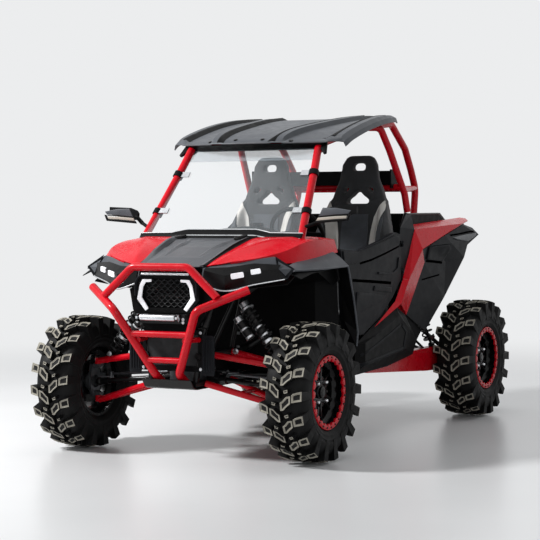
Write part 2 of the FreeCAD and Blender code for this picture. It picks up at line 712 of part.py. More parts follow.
# Skid plate under the frame rails.
skid = new_body("skid_form")
pad(skid, "belly", "XY_Plane", [[(-150, -230), (150, -230), (150, 320), (330, 560), (330, 1500), (230, 1700),
                                 (-230, 1700), (-330, 1500), (-330, 560), (-150, 320)]],
    at("floor_height", -26), 6)
pad(skid, "skid_nose", "YZ_Plane", [[(-230, 374), (-230, 380), (-262, 390), (-292, 430), (-298, 428),
                                (-266, 384)]], 0, 300, both=True)
doc.recompute()
node("skid_plate", feature("skid_plate", drawn(skid).cut(frame_shape)))

# Red front bumper, bent from tube.
thick = value["bumper_tube"]
nose_y = 18.6 - value["front_overhang"]
main_bar = tube([(479, -259, 908), (250, nose_y, 801), (74, -285, 458), (74, -218, 412)], thick, 55)
hoop = tube([(344, -352, 868), (171, -347, 1023), (-171, -347, 1023), (-344, -352, 868)], thick - 2, 60)
upper_bar = rod((-172, -360, 672), (172, -360, 672), 17)
lower_bar = rod((-100, -312, 532), (100, -312, 532), 16)
link_bar = tube([(140, -345, 640), (170, -215, 640)], 28)
bumper_shape = join([main_bar, other_side(main_bar), hoop, upper_bar, lower_bar, link_bar,
                     other_side(link_bar)]).cut(frame_shape)
node("bumper", feature("bumper", bumper_shape))

# Red roll cage.
thick = value["cage_tube"]
rail = tube([(505, 272, 1126), (434, 595, 1538), (410, 700, 1683), (428, 1010, 1752), (430, 1250, 1795),
             (430, 1650, 1837), (425, 1877, 1688), (416, 1990, 1560), (412, 2070, 1440), (425, 2010, 1262)],
            thick, 90)
hoop_leg = tube([(430, 1330, 1800), (484, 1375, 1800), (505, 1462, 1668), (530, 1629, 1408),
                 (538, 1652, 1298)], thick - 2, 50)
cage_parts = [rail, other_side(rail), hoop_leg, other_side(hoop_leg),
              rod((-440, 1330, 1801), (440, 1330, 1801), 20), rod((-408, 712, 1694), (408, 712, 1694), 19),
              rod((-522, 1600, 1448), (522, 1600, 1448), 19), rod((-410, 2068, 1442), (410, 2068, 1442), 19),
              rod((524, 1612, 1432), (415, 2055, 1446), 18), rod((-524, 1612, 1432), (-415, 2055, 1446), 18)]
cage_shape = join(cage_parts).cut(frame_shape)
cage = feature("roll_cage", cage_shape)
node("roll_cage", cage)

# Black cross box behind the head rests.
rear_box_bar = join([block(-470, 470, 1560, 1622, 1462, 1548), block(-478, -470, 1545, 1640, 1440, 1556),
                     block(470, 478, 1545, 1640, 1440, 1556)]).cut(cage_shape)
node("rear_bar", feature("rear_bar", rear_box_bar))

# Roof: one moulded panel with two raised ridges on each side.
def roof_row(middle, edge, low, rail, ridge, reach, raised):
    """Half a row across the roof: centre panel, ridge, groove, side field, edge rail and skirt."""
    marks = [(0, low), (ridge - 30, low), (ridge, low + raised), (ridge + 46, low + raised),
             (ridge + 62, low - raised * 0.3), (reach - 118, rail - raised), (reach - 84, rail),
             (reach - 34, rail), (reach - 10, rail - raised), (reach, rail - raised - 26)]
    return [(x, middle + (edge - middle) * (x / reach) ** 2.4, z) for x, z in marks]


roof_rows = even([
    roof_row(580, 742, 1700, 1698, 172, 560, 2), roof_row(640, 770, 1726, 1722, 180, 563, 12),
    roof_row(760, 800, 1762, 1752, 192, 566, 17), roof_row(1040, 1052, 1808, 1822, 222, 562, 17),
    roof_row(1340, 1340, 1852, 1872, 256, 546, 17), roof_row(1600, 1560, 1876, 1884, 286, 512, 14),
    roof_row(1690, 1590, 1872, 1872, 292, 500, 8)])
roof_shape = skin(roof_rows, value["roof_wall"], (0, 1000, 0))
pads = []
for x, y, low, high in ((412, 716, 1690, 1738), (426, 960, 1745, 1802), (430, 1250, 1796, 1858),
                        (430, 1560, 1826, 1876)):
    pads.append(Part.makeCylinder(15, high - low, Vector(x, y, low)))
roof_shape = join([roof_shape] + pads + [other_side(pad_shape) for pad_shape in pads]).cut(cage_shape)
node("roof", feature("roof", roof_shape))

# Windscreen: one clear sheet standing on the front of the pillars.
slope = math.atan2(1675 - 1172, 690 - 262)
lean = Vector(0, math.cos(slope), math.sin(slope))
out = Vector(0, -math.sin(slope), math.cos(slope))
foot = Vector(0, 306, 1158) + out * (value["cage_tube"] / 2 + 1)


def on_glass(across, along, off=0.0):
    spot = foot + lean * along + out * off
    return (across, spot.y, spot.z)


def glass_slab(outline, low, high):
    return slab([on_glass(across, along, low) for across, along in outline], out * (high - low))


sheet_wall = value["glass_wall"]
glass_outline = [(-505, -8), (505, -8), (500, 40), (436, 560), (400, 640), (360, 662), (-360, 662),
                 (-400, 640), (-436, 560), (-500, 40)]
glass_shape = glass_slab(glass_outline, 0, sheet_wall).cut(cage_shape)
node("windscreen", feature("windscreen", glass_shape))
trim = [glass_slab([(-512, -26), (512, -26), (512, 12), (340, 16), (230, 36), (90, 36), (40, 20), (-40, 20),
                    (-90, 36), (-230, 36), (-340, 16), (-512, 12)], -6, sheet_wall + 6),
        glass_slab([(-420, 596), (-380, 640), (380, 640), (420, 596), (448, 640), (420, 690), (-420, 690),
                    (-448, 640)], -8, sheet_wall + 6)]
pillar_foot, pillar_bend = Vector(505, 272, 1126), Vector(434, 595, 1538)
pillar_way = (pillar_bend - pillar_foot).normalize()
plates = []
for share in (0.43, 0.95):
    middle = pillar_foot + (pillar_bend - pillar_foot) * share
    trim.append(rod(middle - pillar_way * 17, middle + pillar_way * 17, value["cage_tube"] / 2 + 7))
    trim.append(other_side(trim[-1]))
    along = (middle - Vector(0, 306, 1158)).dot(lean)
    plates.append(glass_slab([(middle.x - 76, along - 18), (middle.x - 12, along - 18),
                              (middle.x - 12, along + 18), (middle.x - 76, along + 18)],
                             sheet_wall, sheet_wall + 7))
screen_trim = Part.makeCompound(trim).cut(Part.makeCompound([glass_shape, cage_shape, roof_shape]))
clamp_shape = Part.makeCompound(plates + [other_side(plate) for plate in plates]).cut(
    Part.makeCompound([glass_shape, cage_shape, screen_trim]))
clamp_shape = whole_pieces(clamp_shape)
screen_trim = whole_pieces(screen_trim)
node("windscreen_trim", feature("windscreen_trim", screen_trim))
node("windscreen_clamps", feature("windscreen_clamps", clamp_shape))

# Cabin tub: floor, front wall and rear wall as one sheet, with a centre tunnel.
wall = value["floor_wall"]
floor = value["floor_height"] + 20
tub = new_body("tub_form")
pad(tub, "tub_sheet", "YZ_Plane", [[
    (436, 1010), (436, floor), (1440, floor), (1548, 700), (1590, 1010), (1604, 1286),
    (1599, 1286), (1585, 1012), (1543, 702), (1437, floor + 5), (441, floor + 5), (441, 1010)]],
    0, at("sill_half", 0, 2), both=True)
pad(tub, "tunnel", "XZ_Plane", [[(-110, floor + 5), (-90, floor + 190), (90, floor + 190),
                                 (110, floor + 5), (104, floor + 5), (85, floor + 185),
                                 (-85, floor + 185), (-104, floor + 5)]], -440, 560, back=True)
sill = at("sill_half")
pad(tub, "seat_base", "XZ_Plane", [[(minus(sill), floor + 5), (minus(sill), floor + 200), (sill, floor + 200),
                                    (sill, floor + 5), (plus(sill, -6), floor + 5),
                                    (plus(sill, -6), floor + 194), (plus(minus(sill), 6), floor + 194),
                                    (plus(minus(sill), 6), floor + 5)]], -1000, 440, back=True)
for hand in (1, -1):
    pad(tub, "sill_%s" % ("left" if hand > 0 else "right"), "XZ_Plane",
        [[(at("sill_half", 0, hand), floor), (at("sill_half", 0, hand), floor + 130),
          (at("sill_half", -6 * hand, hand), floor + 130), (at("sill_half", -6 * hand, hand), floor)]],
        -600, 410, back=True)
doc.recompute()
tub_shape = drawn(tub).cut(Part.makeCompound([frame_shape, cage_shape]))
node("cabin_tub", feature("cabin_tub", tub_shape))

# Black rockers with a pressed recess.
rocker_points = [
    (600, 774, 556), (600, 982, 636), (606, 1295, 756), (616, 1431, 686), (616, 1682, 576), (606, 1634, 521),
    (596, 1592, 436), (590, 1233, 394), (590, 790, 380), (596, 770, 470),
    (634, 830, 560), (634, 1000, 600), (640, 1300, 690), (644, 1440, 600), (636, 1390, 488), (632, 830, 440)]
rocker_faces = [
    (0, 1, 11, 10), (1, 2, 12, 11), (2, 3, 13, 12), (3, 4, 5, 13), (5, 6, 14, 13), (6, 7, 14), (7, 8, 15, 14),
    (8, 9, 15), (9, 0, 10, 15), (10, 11, 15), (11, 14, 15), (11, 12, 14), (12, 13, 14)]
rocker = moulded(rocker_points, rocker_faces, 5, (300, 1200, 560))
rocker = join([rocker, slab([(510, 960, 394), (590, 960, 394), (590, 800, 394), (510, 800, 394)], (0, 0, 5)),
               slab([(510, 800, 396), (600, 800, 396), (600, 800, 520), (510, 800, 520)], (0, 5, 0)),
               slab([(510, 1400, 470), (612, 1400, 470), (620, 1400, 640), (510, 1400, 600)], (0, 5, 0))])
rocker_shape = Part.makeCompound([rocker, other_side(rocker)]).cut(
    Part.makeCompound([tub_shape, frame_shape]))
rocker_shape = whole_pieces(rocker_shape)
node("rockers", feature("rockers", rocker_shape))

# Dark side panels behind the doors, beside the seats.
side_points = [(596, 1400, 1150), (590, 1432, 1206), (570, 1560, 1284), (560, 1660, 1280), (604, 1606, 1192),
               (612, 1500, 1040), (612, 1402, 900), (608, 1398, 1000)]
side_faces = [(0, 1, 4), (1, 2, 3, 4), (0, 4, 5, 7), (7, 5, 6)]
side_panel = moulded(side_points, side_faces, 4, (300, 1500, 1000))
leaves = [block(505, 604, 1588, 1596, 1020, 1170)]
for z in (950, 1110):
    leaves.append(join([Part.makeCylinder(7, 18, Vector(620, 1392, z - 18)),
                        slab([(620, 1385, z - 18), (620, 1399, z - 18), (606, 1416, z - 18), (600, 1412, z - 18)],
                             (0, 0, 18))]))
side_panel = join([side_panel] + leaves)
pillar = Part.makeCompound([side_panel, other_side(side_panel)]).cut(
    Part.makeCompound([frame_shape, cage_shape, tub_shape]))
node("side_panels", feature("side_panels", pillar))

# Red swept trim running from the door sill up over the rear fender.
trim_points = [
    (606, 1606, 1192), (560, 2555, 1250), (610, 2470, 1236), (642, 2288, 1220), (654, 1617, 1072),
    (640, 1676, 990), (626, 1431, 686), (652, 1295, 759), (622, 982, 640), (632, 1257, 777),
    (630, 1367, 894), (614, 1405, 905), (652, 1415, 899), (520, 2560, 1256), (520, 1700, 1216)]
trim_faces = [(0, 4, 3, 2), (0, 2, 1, 14), (1, 13, 14), (0, 11, 12, 4), (4, 12, 5), (12, 7, 6, 5),
              (11, 10, 12), (10, 9, 7, 12), (9, 8, 7)]
trim_panel = moulded(trim_points, trim_faces, 4, (200, 1500, 900))

# Black rear fenders with a flare that ends in a tip.
fender_points = [
    (650, 1620, 1068), (645, 1728, 1088), (650, 1990, 1150), (640, 2300, 1212), (600, 2400, 1216),
    (640, 2470, 1190), (692, 2452, 1147), (690, 2260, 1085), (684, 2216, 1006), (664, 1928, 765),
    (640, 1684, 576), (624, 1436, 686), (638, 1676, 988), (690, 1990, 1100), (650, 1990, 985)]
fender_faces = [
    (0, 1, 12), (1, 2, 13), (2, 3, 6, 13), (3, 4, 5), (3, 5, 6), (13, 6, 7), (13, 7, 8, 14), (1, 13, 14, 12),
    (12, 14, 9, 11), (14, 8, 9), (9, 10, 11)]
fender = moulded(fender_points, fender_faces, 4, (300, 1900, 900))
fender = join([fender, block(496, 668, 1900, 1906, 1040, 1100)])

# Cargo bed: an open black box whose floor is thick enough to lie over the frame's crossbar.
bed = new_body("bed_form")
pad(bed, "bed_box", "XY_Plane", [[(-500, 1700), (500, 1700), (500, 2400), (-500, 2400)]], 948, 340)
pocket(bed, "bed_hollow", "XY_Plane", [[(-494, 1706), (494, 1706), (494, 2394), (-494, 2394)]], 974, 400,
       back=True)
pocket(bed, "bed_slope", "YZ_Plane", [[(2240, 1300), (2420, 1300), (2420, 1240), (2360, 1240)]], 0, 1100,
       both=True)
doc.recompute()
bed_shape = drawn(bed).cut(Part.makeCompound([frame_shape, cage_shape, tub_shape]))
node("cargo_bed", feature("cargo_bed", bed_shape))
tail = slab([(386, 2400, 1110), (486, 2400, 1110), (486, 2400, 1168), (470, 2400, 1184), (402, 2400, 1184),
             (386, 2400, 1168)], (0, 14, 0))
node("tail_lamps", feature("tail_lamps", Part.makeCompound([tail, other_side(tail)])))


def silencer():
    """Silencer hung under the bed, its pipe from the engine and its outlet to the rear."""
    can = rod((-210, 2322, 850), (210, 2322, 850), 62)
    caps = [rod((-222, 2322, 850), (-206, 2322, 850), 54), rod((206, 2322, 850), (222, 2322, 850), 54)]
    straps = [block(x - 12, x + 12, 2310, 2334, 905, 948) for x in (-150, 150)]
    pipe = tube([(0, 2052, 760), (0, 2150, 790), (0, 2290, 850)], 42, 60)
    outlet = tube([(150, 2350, 850), (150, 2420, 850), (150, 2470, 842)], 50, 40)
    bore = tube([(150, 2370, 850), (150, 2420, 850), (150, 2480, 841)], 44, 40)
    return join([can, pipe, outlet] + caps + straps).cut(bore)


exhaust_shape = silencer().cut(Part.makeCompound([engine_shape, frame_shape, bed_shape]))
node("exhaust", feature("exhaust", exhaust_shape))
fender_shape = Part.makeCompound([fender, other_side(fender)])
trim_shape = Part.makeCompound([trim_panel, other_side(trim_panel)]).cut(
    Part.makeCompound([fender_shape, rocker_shape, pillar, bed_shape, cage_shape]))
fender_shape = fender_shape.cut(Part.makeCompound([rocker_shape, pillar, bed_shape]))
node("rear_fenders", feature("rear_fenders", fender_shape))
node("side_trim", feature("side_trim", trim_shape))

# Doors, hinged on their rear edge.
door_rows = [
    [(600, 582, 1098), (604, 801, 1080), (608, 1080, 1128), (606, 1322, 1178), (606, 1384, 1166)],
    [(606, 584, 1000), (612, 790, 990), (614, 1080, 1020), (614, 1330, 1056), (614, 1385, 1056)],
    [(612, 594, 900), (618, 760, 905), (618, 1040, 902), (618, 1270, 892), (620, 1367, 900)],
    [(608, 606, 800), (612, 760, 800), (614, 1000, 800), (616, 1190, 800), (620, 1244, 800)],
    [(604, 632, 700), (606, 760, 700), (608, 900, 700), (610, 1010, 700), (614, 1088, 700)],
    [(600, 680, 620), (600, 760, 610), (602, 830, 606), (602, 872, 606), (604, 902, 620)]]
door = skin(door_rows, value["door_wall"], (0, 1000, 800))
hinge = Vector(620, 1392, 0)
leaves = []
for z in (950, 1110):
    leaves.append(join([Part.makeCylinder(7, 18, hinge + Vector(0, 0, z + 0.3)),
                        block(600, 620, 1374, 1392, z + 0.3, z + 18.3)]))
door = join([door] + leaves)
door_left = feature("door_left_form", door)
node("door_left", door_left)
door_right = mirrored(door_left, "door_right_form")
door_right.Label = "door_right"
nodes.append(door_right)

# Black centre panel of the bonnet.
hood_rows = even([
    [(0, -246, 1020), (110, -244, 1022), (195, -230, 1025)],
    [(0, -150, 1068), (130, -150, 1066), (204, -140, 1058)],
    [(0, 20, 1118), (150, 20, 1116), (222, 20, 1110)],
    [(0, 180, 1150), (165, 180, 1152), (238, 172, 1156)],
    [(0, 270, 1162), (175, 270, 1163), (246, 258, 1168)]])
hood_shape = skin(hood_rows, value["panel_wall"], (0, 0, 700))

# Red panels on both sides of the bonnet, running back over the front wheels.
red_points = [
    (198, -228, 1024), (208, -140, 1056), (226, 20, 1110), (242, 172, 1156), (250, 250, 1166),
    (330, -180, 1046), (360, -100, 1082), (400, 20, 1118), (430, 180, 1150), (470, 270, 1164),
    (520, -70, 1080), (545, 20, 1100), (560, 180, 1128), (566, 300, 1150), (540, 620, 1150), (470, 400, 1166),
    (590, -20, 1034), (604, 100, 1040), (608, 300, 1060), (604, 532, 1080)]
red_faces = [
    (0, 1, 6, 5), (1, 2, 7, 6), (2, 3, 8, 7), (3, 4, 9, 8), (5, 6, 10), (6, 7, 11, 10), (7, 8, 12, 11),
    (8, 9, 13, 12), (9, 15, 14, 13), (10, 11, 17, 16), (11, 12, 18, 17), (12, 13, 19, 18), (13, 14, 19)]
red_panel = moulded(red_points, red_faces, value["panel_wall"], (200, 200, 700))

# Headlamp housings with a grey upper band.
lamp_points = [
    (194, -236, 1016), (336, -170, 1043), (526, -60, 1074), (640, -60, 1010), (600, -60, 960),
    (450, -150, 930), (330, -236, 900), (194, -262, 930), (330, -246, 978), (450, -176, 1000),
    (560, -90, 1010)]
lamp_faces = [(0, 1, 8), (1, 9, 8), (1, 2, 10, 9), (2, 3, 10), (3, 4, 10), (4, 5, 9, 10), (5, 6, 8, 9),
              (6, 7, 0, 8)]
housing_panel = moulded(lamp_points, lamp_faces, value["panel_wall"], (200, 300, 900))

# Front arches: black flares with their liners, open towards the wheels.
arch_points = [
    (596, -66, 996), (600, -14, 1028), (612, 100, 1034), (616, 300, 1052), (612, 500, 1066),
    (680, -60, 960), (686, 60, 985), (690, 300, 1004), (690, 496, 1006), (690, 560, 833), (688, 618, 640),
    (690, 600, 560), (600, 640, 560), (610, 606, 700), (612, 580, 840), (612, 544, 960)]
arch_faces = [(0, 1, 5), (1, 2, 6, 5), (2, 3, 7, 6), (3, 4, 8, 7), (4, 15, 8), (15, 14, 9, 8), (14, 13, 10, 9),
              (13, 12, 11, 10)]
arch = moulded(arch_points, arch_faces, value["panel_wall"], (400, 300, 600))
liner_rows = [
    [(330, -120, 900), (330, 60, 950), (330, 330, 950), (330, 428, 890), (330, 433, 640), (330, 433, 428)],
    [(516, -80, 920), (516, 60, 975), (516, 330, 990), (516, 428, 920), (516, 433, 660), (516, 433, 428)],
    [(600, -60, 930), (606, 60, 990), (606, 330, 1010), (604, 520, 940), (600, 550, 700), (596, 560, 428)]]
liner = skin(liner_rows, 3, (400, 100, 500))

# Nose: black surround under the lamps and the grille with its light strips.
grille = new_body("grille_form")
pad(grille, "surround", "XZ_Plane", [
    [(-150, 985), (150, 985), (196, 930), (200, 850), (140, 780), (-140, 780), (-200, 850), (-196, 930)],
    [(-118, 962), (-160, 920), (-160, 856), (-118, 806), (118, 806), (160, 856), (160, 920), (118, 962)]],
    290, 70, back=True)
doc.recompute()
grille_shape = drawn(grille)


def honeycomb():
    """A thin plate across the surround, pierced by rows of flattened hexagons."""
    plate = slab([(-118, -262, 962), (118, -262, 962), (160, -262, 920), (160, -262, 856), (118, -262, 806),
                  (-118, -262, 806), (-160, -262, 856), (-160, -262, 920)], (0, 5, 0))
    step, rise, rib = value["cell_pitch"], value["cell_rise"], value["cell_rib"]
    wide, high = (step - rib) / 2, (rise * 2 - rib) / 3
    cells = []
    for row in range(-7, 8):
        for column in range(-6, 7):
            x = (column + (row % 2) / 2) * step
            z = 884 + row * rise
            if abs(x) + wide > 112 + min(0, 66 - abs(z - 884)) * 0.75 or abs(z - 884) > 62:
                continue
            marks = [(-wide, -high / 2), (0, -high), (wide, -high / 2), (wide, high / 2), (0, high),
                     (-wide, high / 2)]
            cells.append(slab([(x + u, -270, z + w) for u, w in marks], (0, 20, 0)))
    return plate.cut(Part.makeCompound(cells))


mesh_shape = honeycomb()
node("grille_mesh", feature("grille_mesh", mesh_shape))
strip = slab([(118, -292, 962), (160, -292, 920), (160, -292, 856), (118, -292, 806), (100, -292, 806),
              (100, -292, 818), (112, -292, 818), (148, -292, 860), (148, -292, 914), (112, -292, 950),
              (96, -292, 950), (96, -292, 962)], (0, 26, 0))
strip_shape = Part.makeCompound([strip, other_side(strip)]).cut(grille_shape)
nose = new_body("nose_form")
pad(nose, "radiator_box", "XZ_Plane", [[(-186, 470), (186, 470), (186, 690), (-186, 690)],
                                       [(-160, 496), (160, 496), (160, 664), (-160, 664)]], 236, 40, back=True)
pad(nose, "apron", "XZ_Plane", [[(-150, 690), (150, 690), (230, 790), (250, 900), (205, 930), (196, 850),
                                 (140, 776), (-140, 776), (-196, 850), (-205, 930), (-250, 900), (-230, 790)]],
    250, 30, back=True)
doc.recompute()
nose_shape = drawn(nose).cut(Part.makeCompound([frame_shape, grille_shape, bumper_shape]))
radiator = block(-158, 158, -226, -190, 498, 662).cut(frame_shape).cut(bumper_shape)
winch_bar = join([rod((-120, -372, 760), (120, -372, 760), 14), block(-150, 150, -350, -220, 728, 776),
                  block(112, 126, -392, -345, 740, 776), block(-126, -112, -392, -345, 740, 776)])
winch_shape = winch_bar.cut(Part.makeCompound([nose_shape, bumper_shape, frame_shape]))
hood_shape = hood_shape.cut(screen_trim)
red_shape = Part.makeCompound([red_panel, other_side(red_panel)]).cut(
    Part.makeCompound([hood_shape, cage_shape, frame_shape, screen_trim]))
lamp_shape = Part.makeCompound([housing_panel, other_side(housing_panel)]).cut(
    Part.makeCompound([red_shape, hood_shape, grille_shape, frame_shape, nose_shape, bumper_shape]))
low_edge, crease_in, crease_out = Vector(330, -236, 900), Vector(330, -246, 978), Vector(450, -176, 1000)
along_lamp = (crease_out - crease_in).normalize()
out_of_lamp = along_lamp.cross(crease_in - low_edge).normalize()
up_lamp = out_of_lamp.cross(along_lamp)


def lamp_module(along, up, wide, high, depth=10):
    """A lens with cut corners, set into the sloping front of the housing."""
    corner = high * 0.3
    marks = [(-wide, -high + corner), (-wide + corner, -high), (wide - corner, -high), (wide, -high + corner),
             (wide, high - corner), (wide - corner, high), (-wide + corner, high), (-wide, high - corner)]
    return slab([crease_in + along_lamp * (along + u) + up_lamp * (up + v) - out_of_lamp * (depth - 3)
                 for u, v in marks], out_of_lamp * depth)


lamps = [lamp_module(6, -20, 34, 16), lamp_module(104, -16, 27, 13)]
lamps_shape = Part.makeCompound(lamps + [other_side(lamp) for lamp in lamps]).cut(
    Part.makeCompound([grille_shape, nose_shape, frame_shape, bumper_shape]))
lamp_shape = lamp_shape.cut(lamps_shape)
node("headlamps", feature("headlamps", Part.makeCompound([lamps_shape, strip_shape])))
arch_shape = Part.makeCompound([arch, other_side(arch)]).cut(Part.makeCompound([red_shape, lamp_shape]))
liner_shape = Part.makeCompound([liner, other_side(liner)]).cut(
    Part.makeCompound([red_shape, lamp_shape, arch_shape, frame_shape, tub_shape, shocks, cage_shape]))
node("grille", feature("grille", grille_shape.cut(Part.makeCompound([hood_shape, bumper_shape]))))
node("nose", feature("nose", nose_shape))
node("radiator", feature("radiator", radiator))
node("winch", feature("winch", winch_shape))
node("hood", feature("hood", hood_shape))
node("front_panels", feature("front_panels", red_shape))
node("lamp_housings", feature("lamp_housings", lamp_shape))
node("front_arches", feature("front_arches", arch_shape))
node("wheel_liners", feature("wheel_liners", liner_shape))

# Dashboard and steering column.
dash = ruled([
    [(-512, 300, 1146), (-512, 560, 1150), (-512, 600, 1090), (-512, 560, 960), (-512, 460, 900), (-512, 441, 900),
     (-512, 441, 1100)],
    [(512, 300, 1146), (512, 560, 1150), (512, 600, 1090), (512, 560, 960), (512, 460, 900), (512, 441, 900),
     (512, 441, 1100)]])
tilt = math.radians(28)
centre = Vector(value["seat_half"], value["wheel_back"], value["wheel_height"])
aim = Vector(0, math.cos(tilt), math.sin(tilt))
column = rod(tuple(centre - aim * 150), tuple(centre - aim * 31), 20)
dash_shape = dash.cut(Part.makeCompound([tub_shape, red_shape, hood_shape, cage_shape, frame_shape,
                                         glass_shape]))
dash_shape = join([dash_shape, column.cut(tub_shape)])
node("dashboard", feature("dashboard", dash_shape))

# Steering wheel: rim, three spokes and hub, drawn flat and then leaned back.
steer = new_body("steering_wheel_form")
rim_loop = doc.addObject("Part::Torus", "wheel_rim")
rim_loop.setExpression("Radius1", "sizes.wheel_rim_radius - sizes.wheel_rim_tube / 2")
rim_loop.setExpression("Radius2", "sizes.wheel_rim_tube / 2")
hub = doc.addObject("Part::Cylinder", "wheel_hub")
hub.Radius = 34
hub.Height = 30
hub.Placement = Placement(Vector(0, 0, -30), Rotation())
pad(steer, "spokes_flat", "XY_Plane", [[(-160, 8), (-160, -12), (-20, -26), (20, -26), (160, -12), (160, 8),
                                        (24, 20), (16, 160), (-16, 160), (-24, 20)]], -18, 10)
wheel_whole = fused("steering_wheel_whole", [rim_loop, hub, steer])
wheel_whole.Placement = Placement(centre, Rotation(Vector(1, 0, 0), -(90 - math.degrees(tilt))))
doc.recompute()
node("steering_wheel", wheel_whole)

# Seats: a bucket with side bolsters, a head rest and openings for the belts.
def station(y, z, half, deep):
    return [(-half, y, z), (-half * 0.72, y - deep * 0.1, z), (half * 0.72, y - deep * 0.1, z), (half, y, z),
            (half, y + deep * 0.7, z), (half * 0.6, y + deep, z), (-half * 0.6, y + deep, z),
            (-half, y + deep * 0.7, z)]


def bolster(marks):
    """A side cheek through sections given as height, seat face, inner edge, outer edge and reach forwards."""
    return ruled([[(inner, y + 8, z), (inner + 26, y - reach, z), (outer - 14, y - reach - 6, z),
                   (outer + 6, y - reach * 0.5, z), (outer, y + 60, z), (inner, y + 60, z)]
                  for z, y, inner, outer, reach in marks])


back = ruled([station(1310, 650, 214, 96), station(1336, 800, 226, 96), station(1378, 1000, 232, 90),
              station(1408, 1180, 222, 84), station(1430, 1310, 196, 78), station(1440, 1376, 182, 74),
              station(1448, 1440, 156, 70), station(1452, 1500, 130, 66), station(1462, 1590, 114, 58),
              station(1470, 1630, 92, 50), station(1474, 1646, 66, 40)])
cheek = bolster([(660, 1312, 150, 226, 60), (800, 1336, 152, 240, 100), (1000, 1378, 152, 244, 116),
                 (1180, 1408, 148, 232, 92), (1300, 1428, 146, 204, 44), (1372, 1440, 140, 184, 8)])
cushion = ruled([[(-214, 920, 622), (214, 920, 622), (224, 920, 690), (150, 920, 716), (-150, 920, 716),
                  (-224, 920, 690)],
                 [(-222, 1330, 622), (222, 1330, 622), (232, 1330, 690), (150, 1330, 700), (-150, 1330, 700),
                  (-232, 1330, 690)]])
wing = ruled([[(150, 940, 700), (180, 940, 744), (216, 940, 744), (226, 940, 690), (220, 940, 640)],
              [(150, 1330, 690), (182, 1330, 790), (226, 1330, 800), (238, 1330, 700), (224, 1330, 640)]])
openings = [
    slab([(-46, 1380, 1556), (46, 1380, 1556), (40, 1380, 1592), (28, 1380, 1600), (-28, 1380, 1600),
          (-40, 1380, 1592)], (0, 200, 0)),
    slab([(-72, 1380, 1356), (72, 1380, 1356), (82, 1380, 1376), (44, 1380, 1402), (10, 1380, 1434),
          (-10, 1380, 1434), (-44, 1380, 1402), (-82, 1380, 1376)], (0, 200, 0)),
    slab([(94, 1380, 1416), (104, 1380, 1430), (98, 1380, 1452), (52, 1380, 1460), (60, 1380, 1444)],
         (0, 200, 0))]
openings.append(other_side(openings[2]))
seat_form = join([back, cushion, cheek, other_side(cheek), wing, other_side(wing)])
seat_form = seat_form.cut(Part.makeCompound(openings))
for name, hand in (("seat_left", 1), ("seat_right", -1)):
    moved = seat_form.copy()
    moved.translate(Vector(hand * value["seat_half"], 0, 0))
    moved = moved.cut(Part.makeCompound([tub_shape, frame_shape, cage_shape, rear_box_bar]))
    node(name, feature(name, moved))

# Mirrors on their pillar clamps.
mirror_head = ruled([[(590, 372, 1262), (590, 392, 1262), (590, 396, 1300), (590, 376, 1316)],
                     [(640, 376, 1262), (640, 400, 1262), (640, 404, 1318), (640, 384, 1332)],
                     [(790, 384, 1296), (790, 400, 1296), (790, 402, 1330), (790, 388, 1338)]])
mirror_arm = join([rod((500, 338, 1222), (560, 372, 1246), 10), rod((556, 370, 1244), (604, 384, 1282), 12),
                   mirror_head])
mirror_arm = mirror_arm.cut(Part.makeCompound([cage_shape, glass_shape, clamp_shape]))
node("mirrors", feature("mirrors", Part.makeCompound([mirror_arm, other_side(mirror_arm)])))
doc.recompute()
for thing in doc.Objects:
    if "Invalid" in thing.State or "Error" in thing.State:
        raise RuntimeError("failed: " + thing.Name)
for thing in nodes:
    shape = thing.Shape
    if shape.isNull() or not shape.isValid():
        raise RuntimeError("bad shape: " + thing.Label)
for thing in nodes:
    thing.Shape.exportStep("parts/%s.step" % thing.Label)
    print(thing.Label, len(thing.Shape.Solids), "%.0f" % (thing.Shape.Volume / 1000))
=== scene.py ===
import json
import math

import bpy
from mathutils import Matrix, Vector


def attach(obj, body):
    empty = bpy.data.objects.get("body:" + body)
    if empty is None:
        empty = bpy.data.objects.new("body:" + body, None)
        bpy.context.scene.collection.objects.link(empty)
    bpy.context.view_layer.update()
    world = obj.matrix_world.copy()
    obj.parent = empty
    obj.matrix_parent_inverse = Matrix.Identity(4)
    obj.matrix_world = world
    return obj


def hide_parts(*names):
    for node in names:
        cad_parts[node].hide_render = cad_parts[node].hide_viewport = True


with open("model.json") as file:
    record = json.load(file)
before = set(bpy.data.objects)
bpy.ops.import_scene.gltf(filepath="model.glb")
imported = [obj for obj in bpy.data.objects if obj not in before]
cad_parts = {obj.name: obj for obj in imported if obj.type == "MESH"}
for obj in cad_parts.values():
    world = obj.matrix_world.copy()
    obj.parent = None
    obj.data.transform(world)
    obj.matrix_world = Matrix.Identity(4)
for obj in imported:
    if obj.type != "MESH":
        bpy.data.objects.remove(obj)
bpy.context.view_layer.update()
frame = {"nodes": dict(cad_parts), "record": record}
nodes = frame["nodes"]

# The front axle lies this far in front of the origin, and the pieces
# below are placed by their distance behind that axle.
AXLE = -1.112


def spot(x, y, z):
    """A point from millimetres: sideways, behind the front axle, height."""
    return Vector((x / 1000, y / 1000 + AXLE, z / 1000))


# Camera, at the photograph's viewing angle: turns in degrees, the lens's
# place in metres, and its length in pixels of the photograph's frame.

YAW, PITCH, ROLL = 27.92, 2.12, -0.33
CAMERA_PLACE = (4.751, -9.199, 1.340)
FOCAL_PIXELS = 1737.5
FRAME_PIXELS = 540
SENSOR_WIDTH = 36


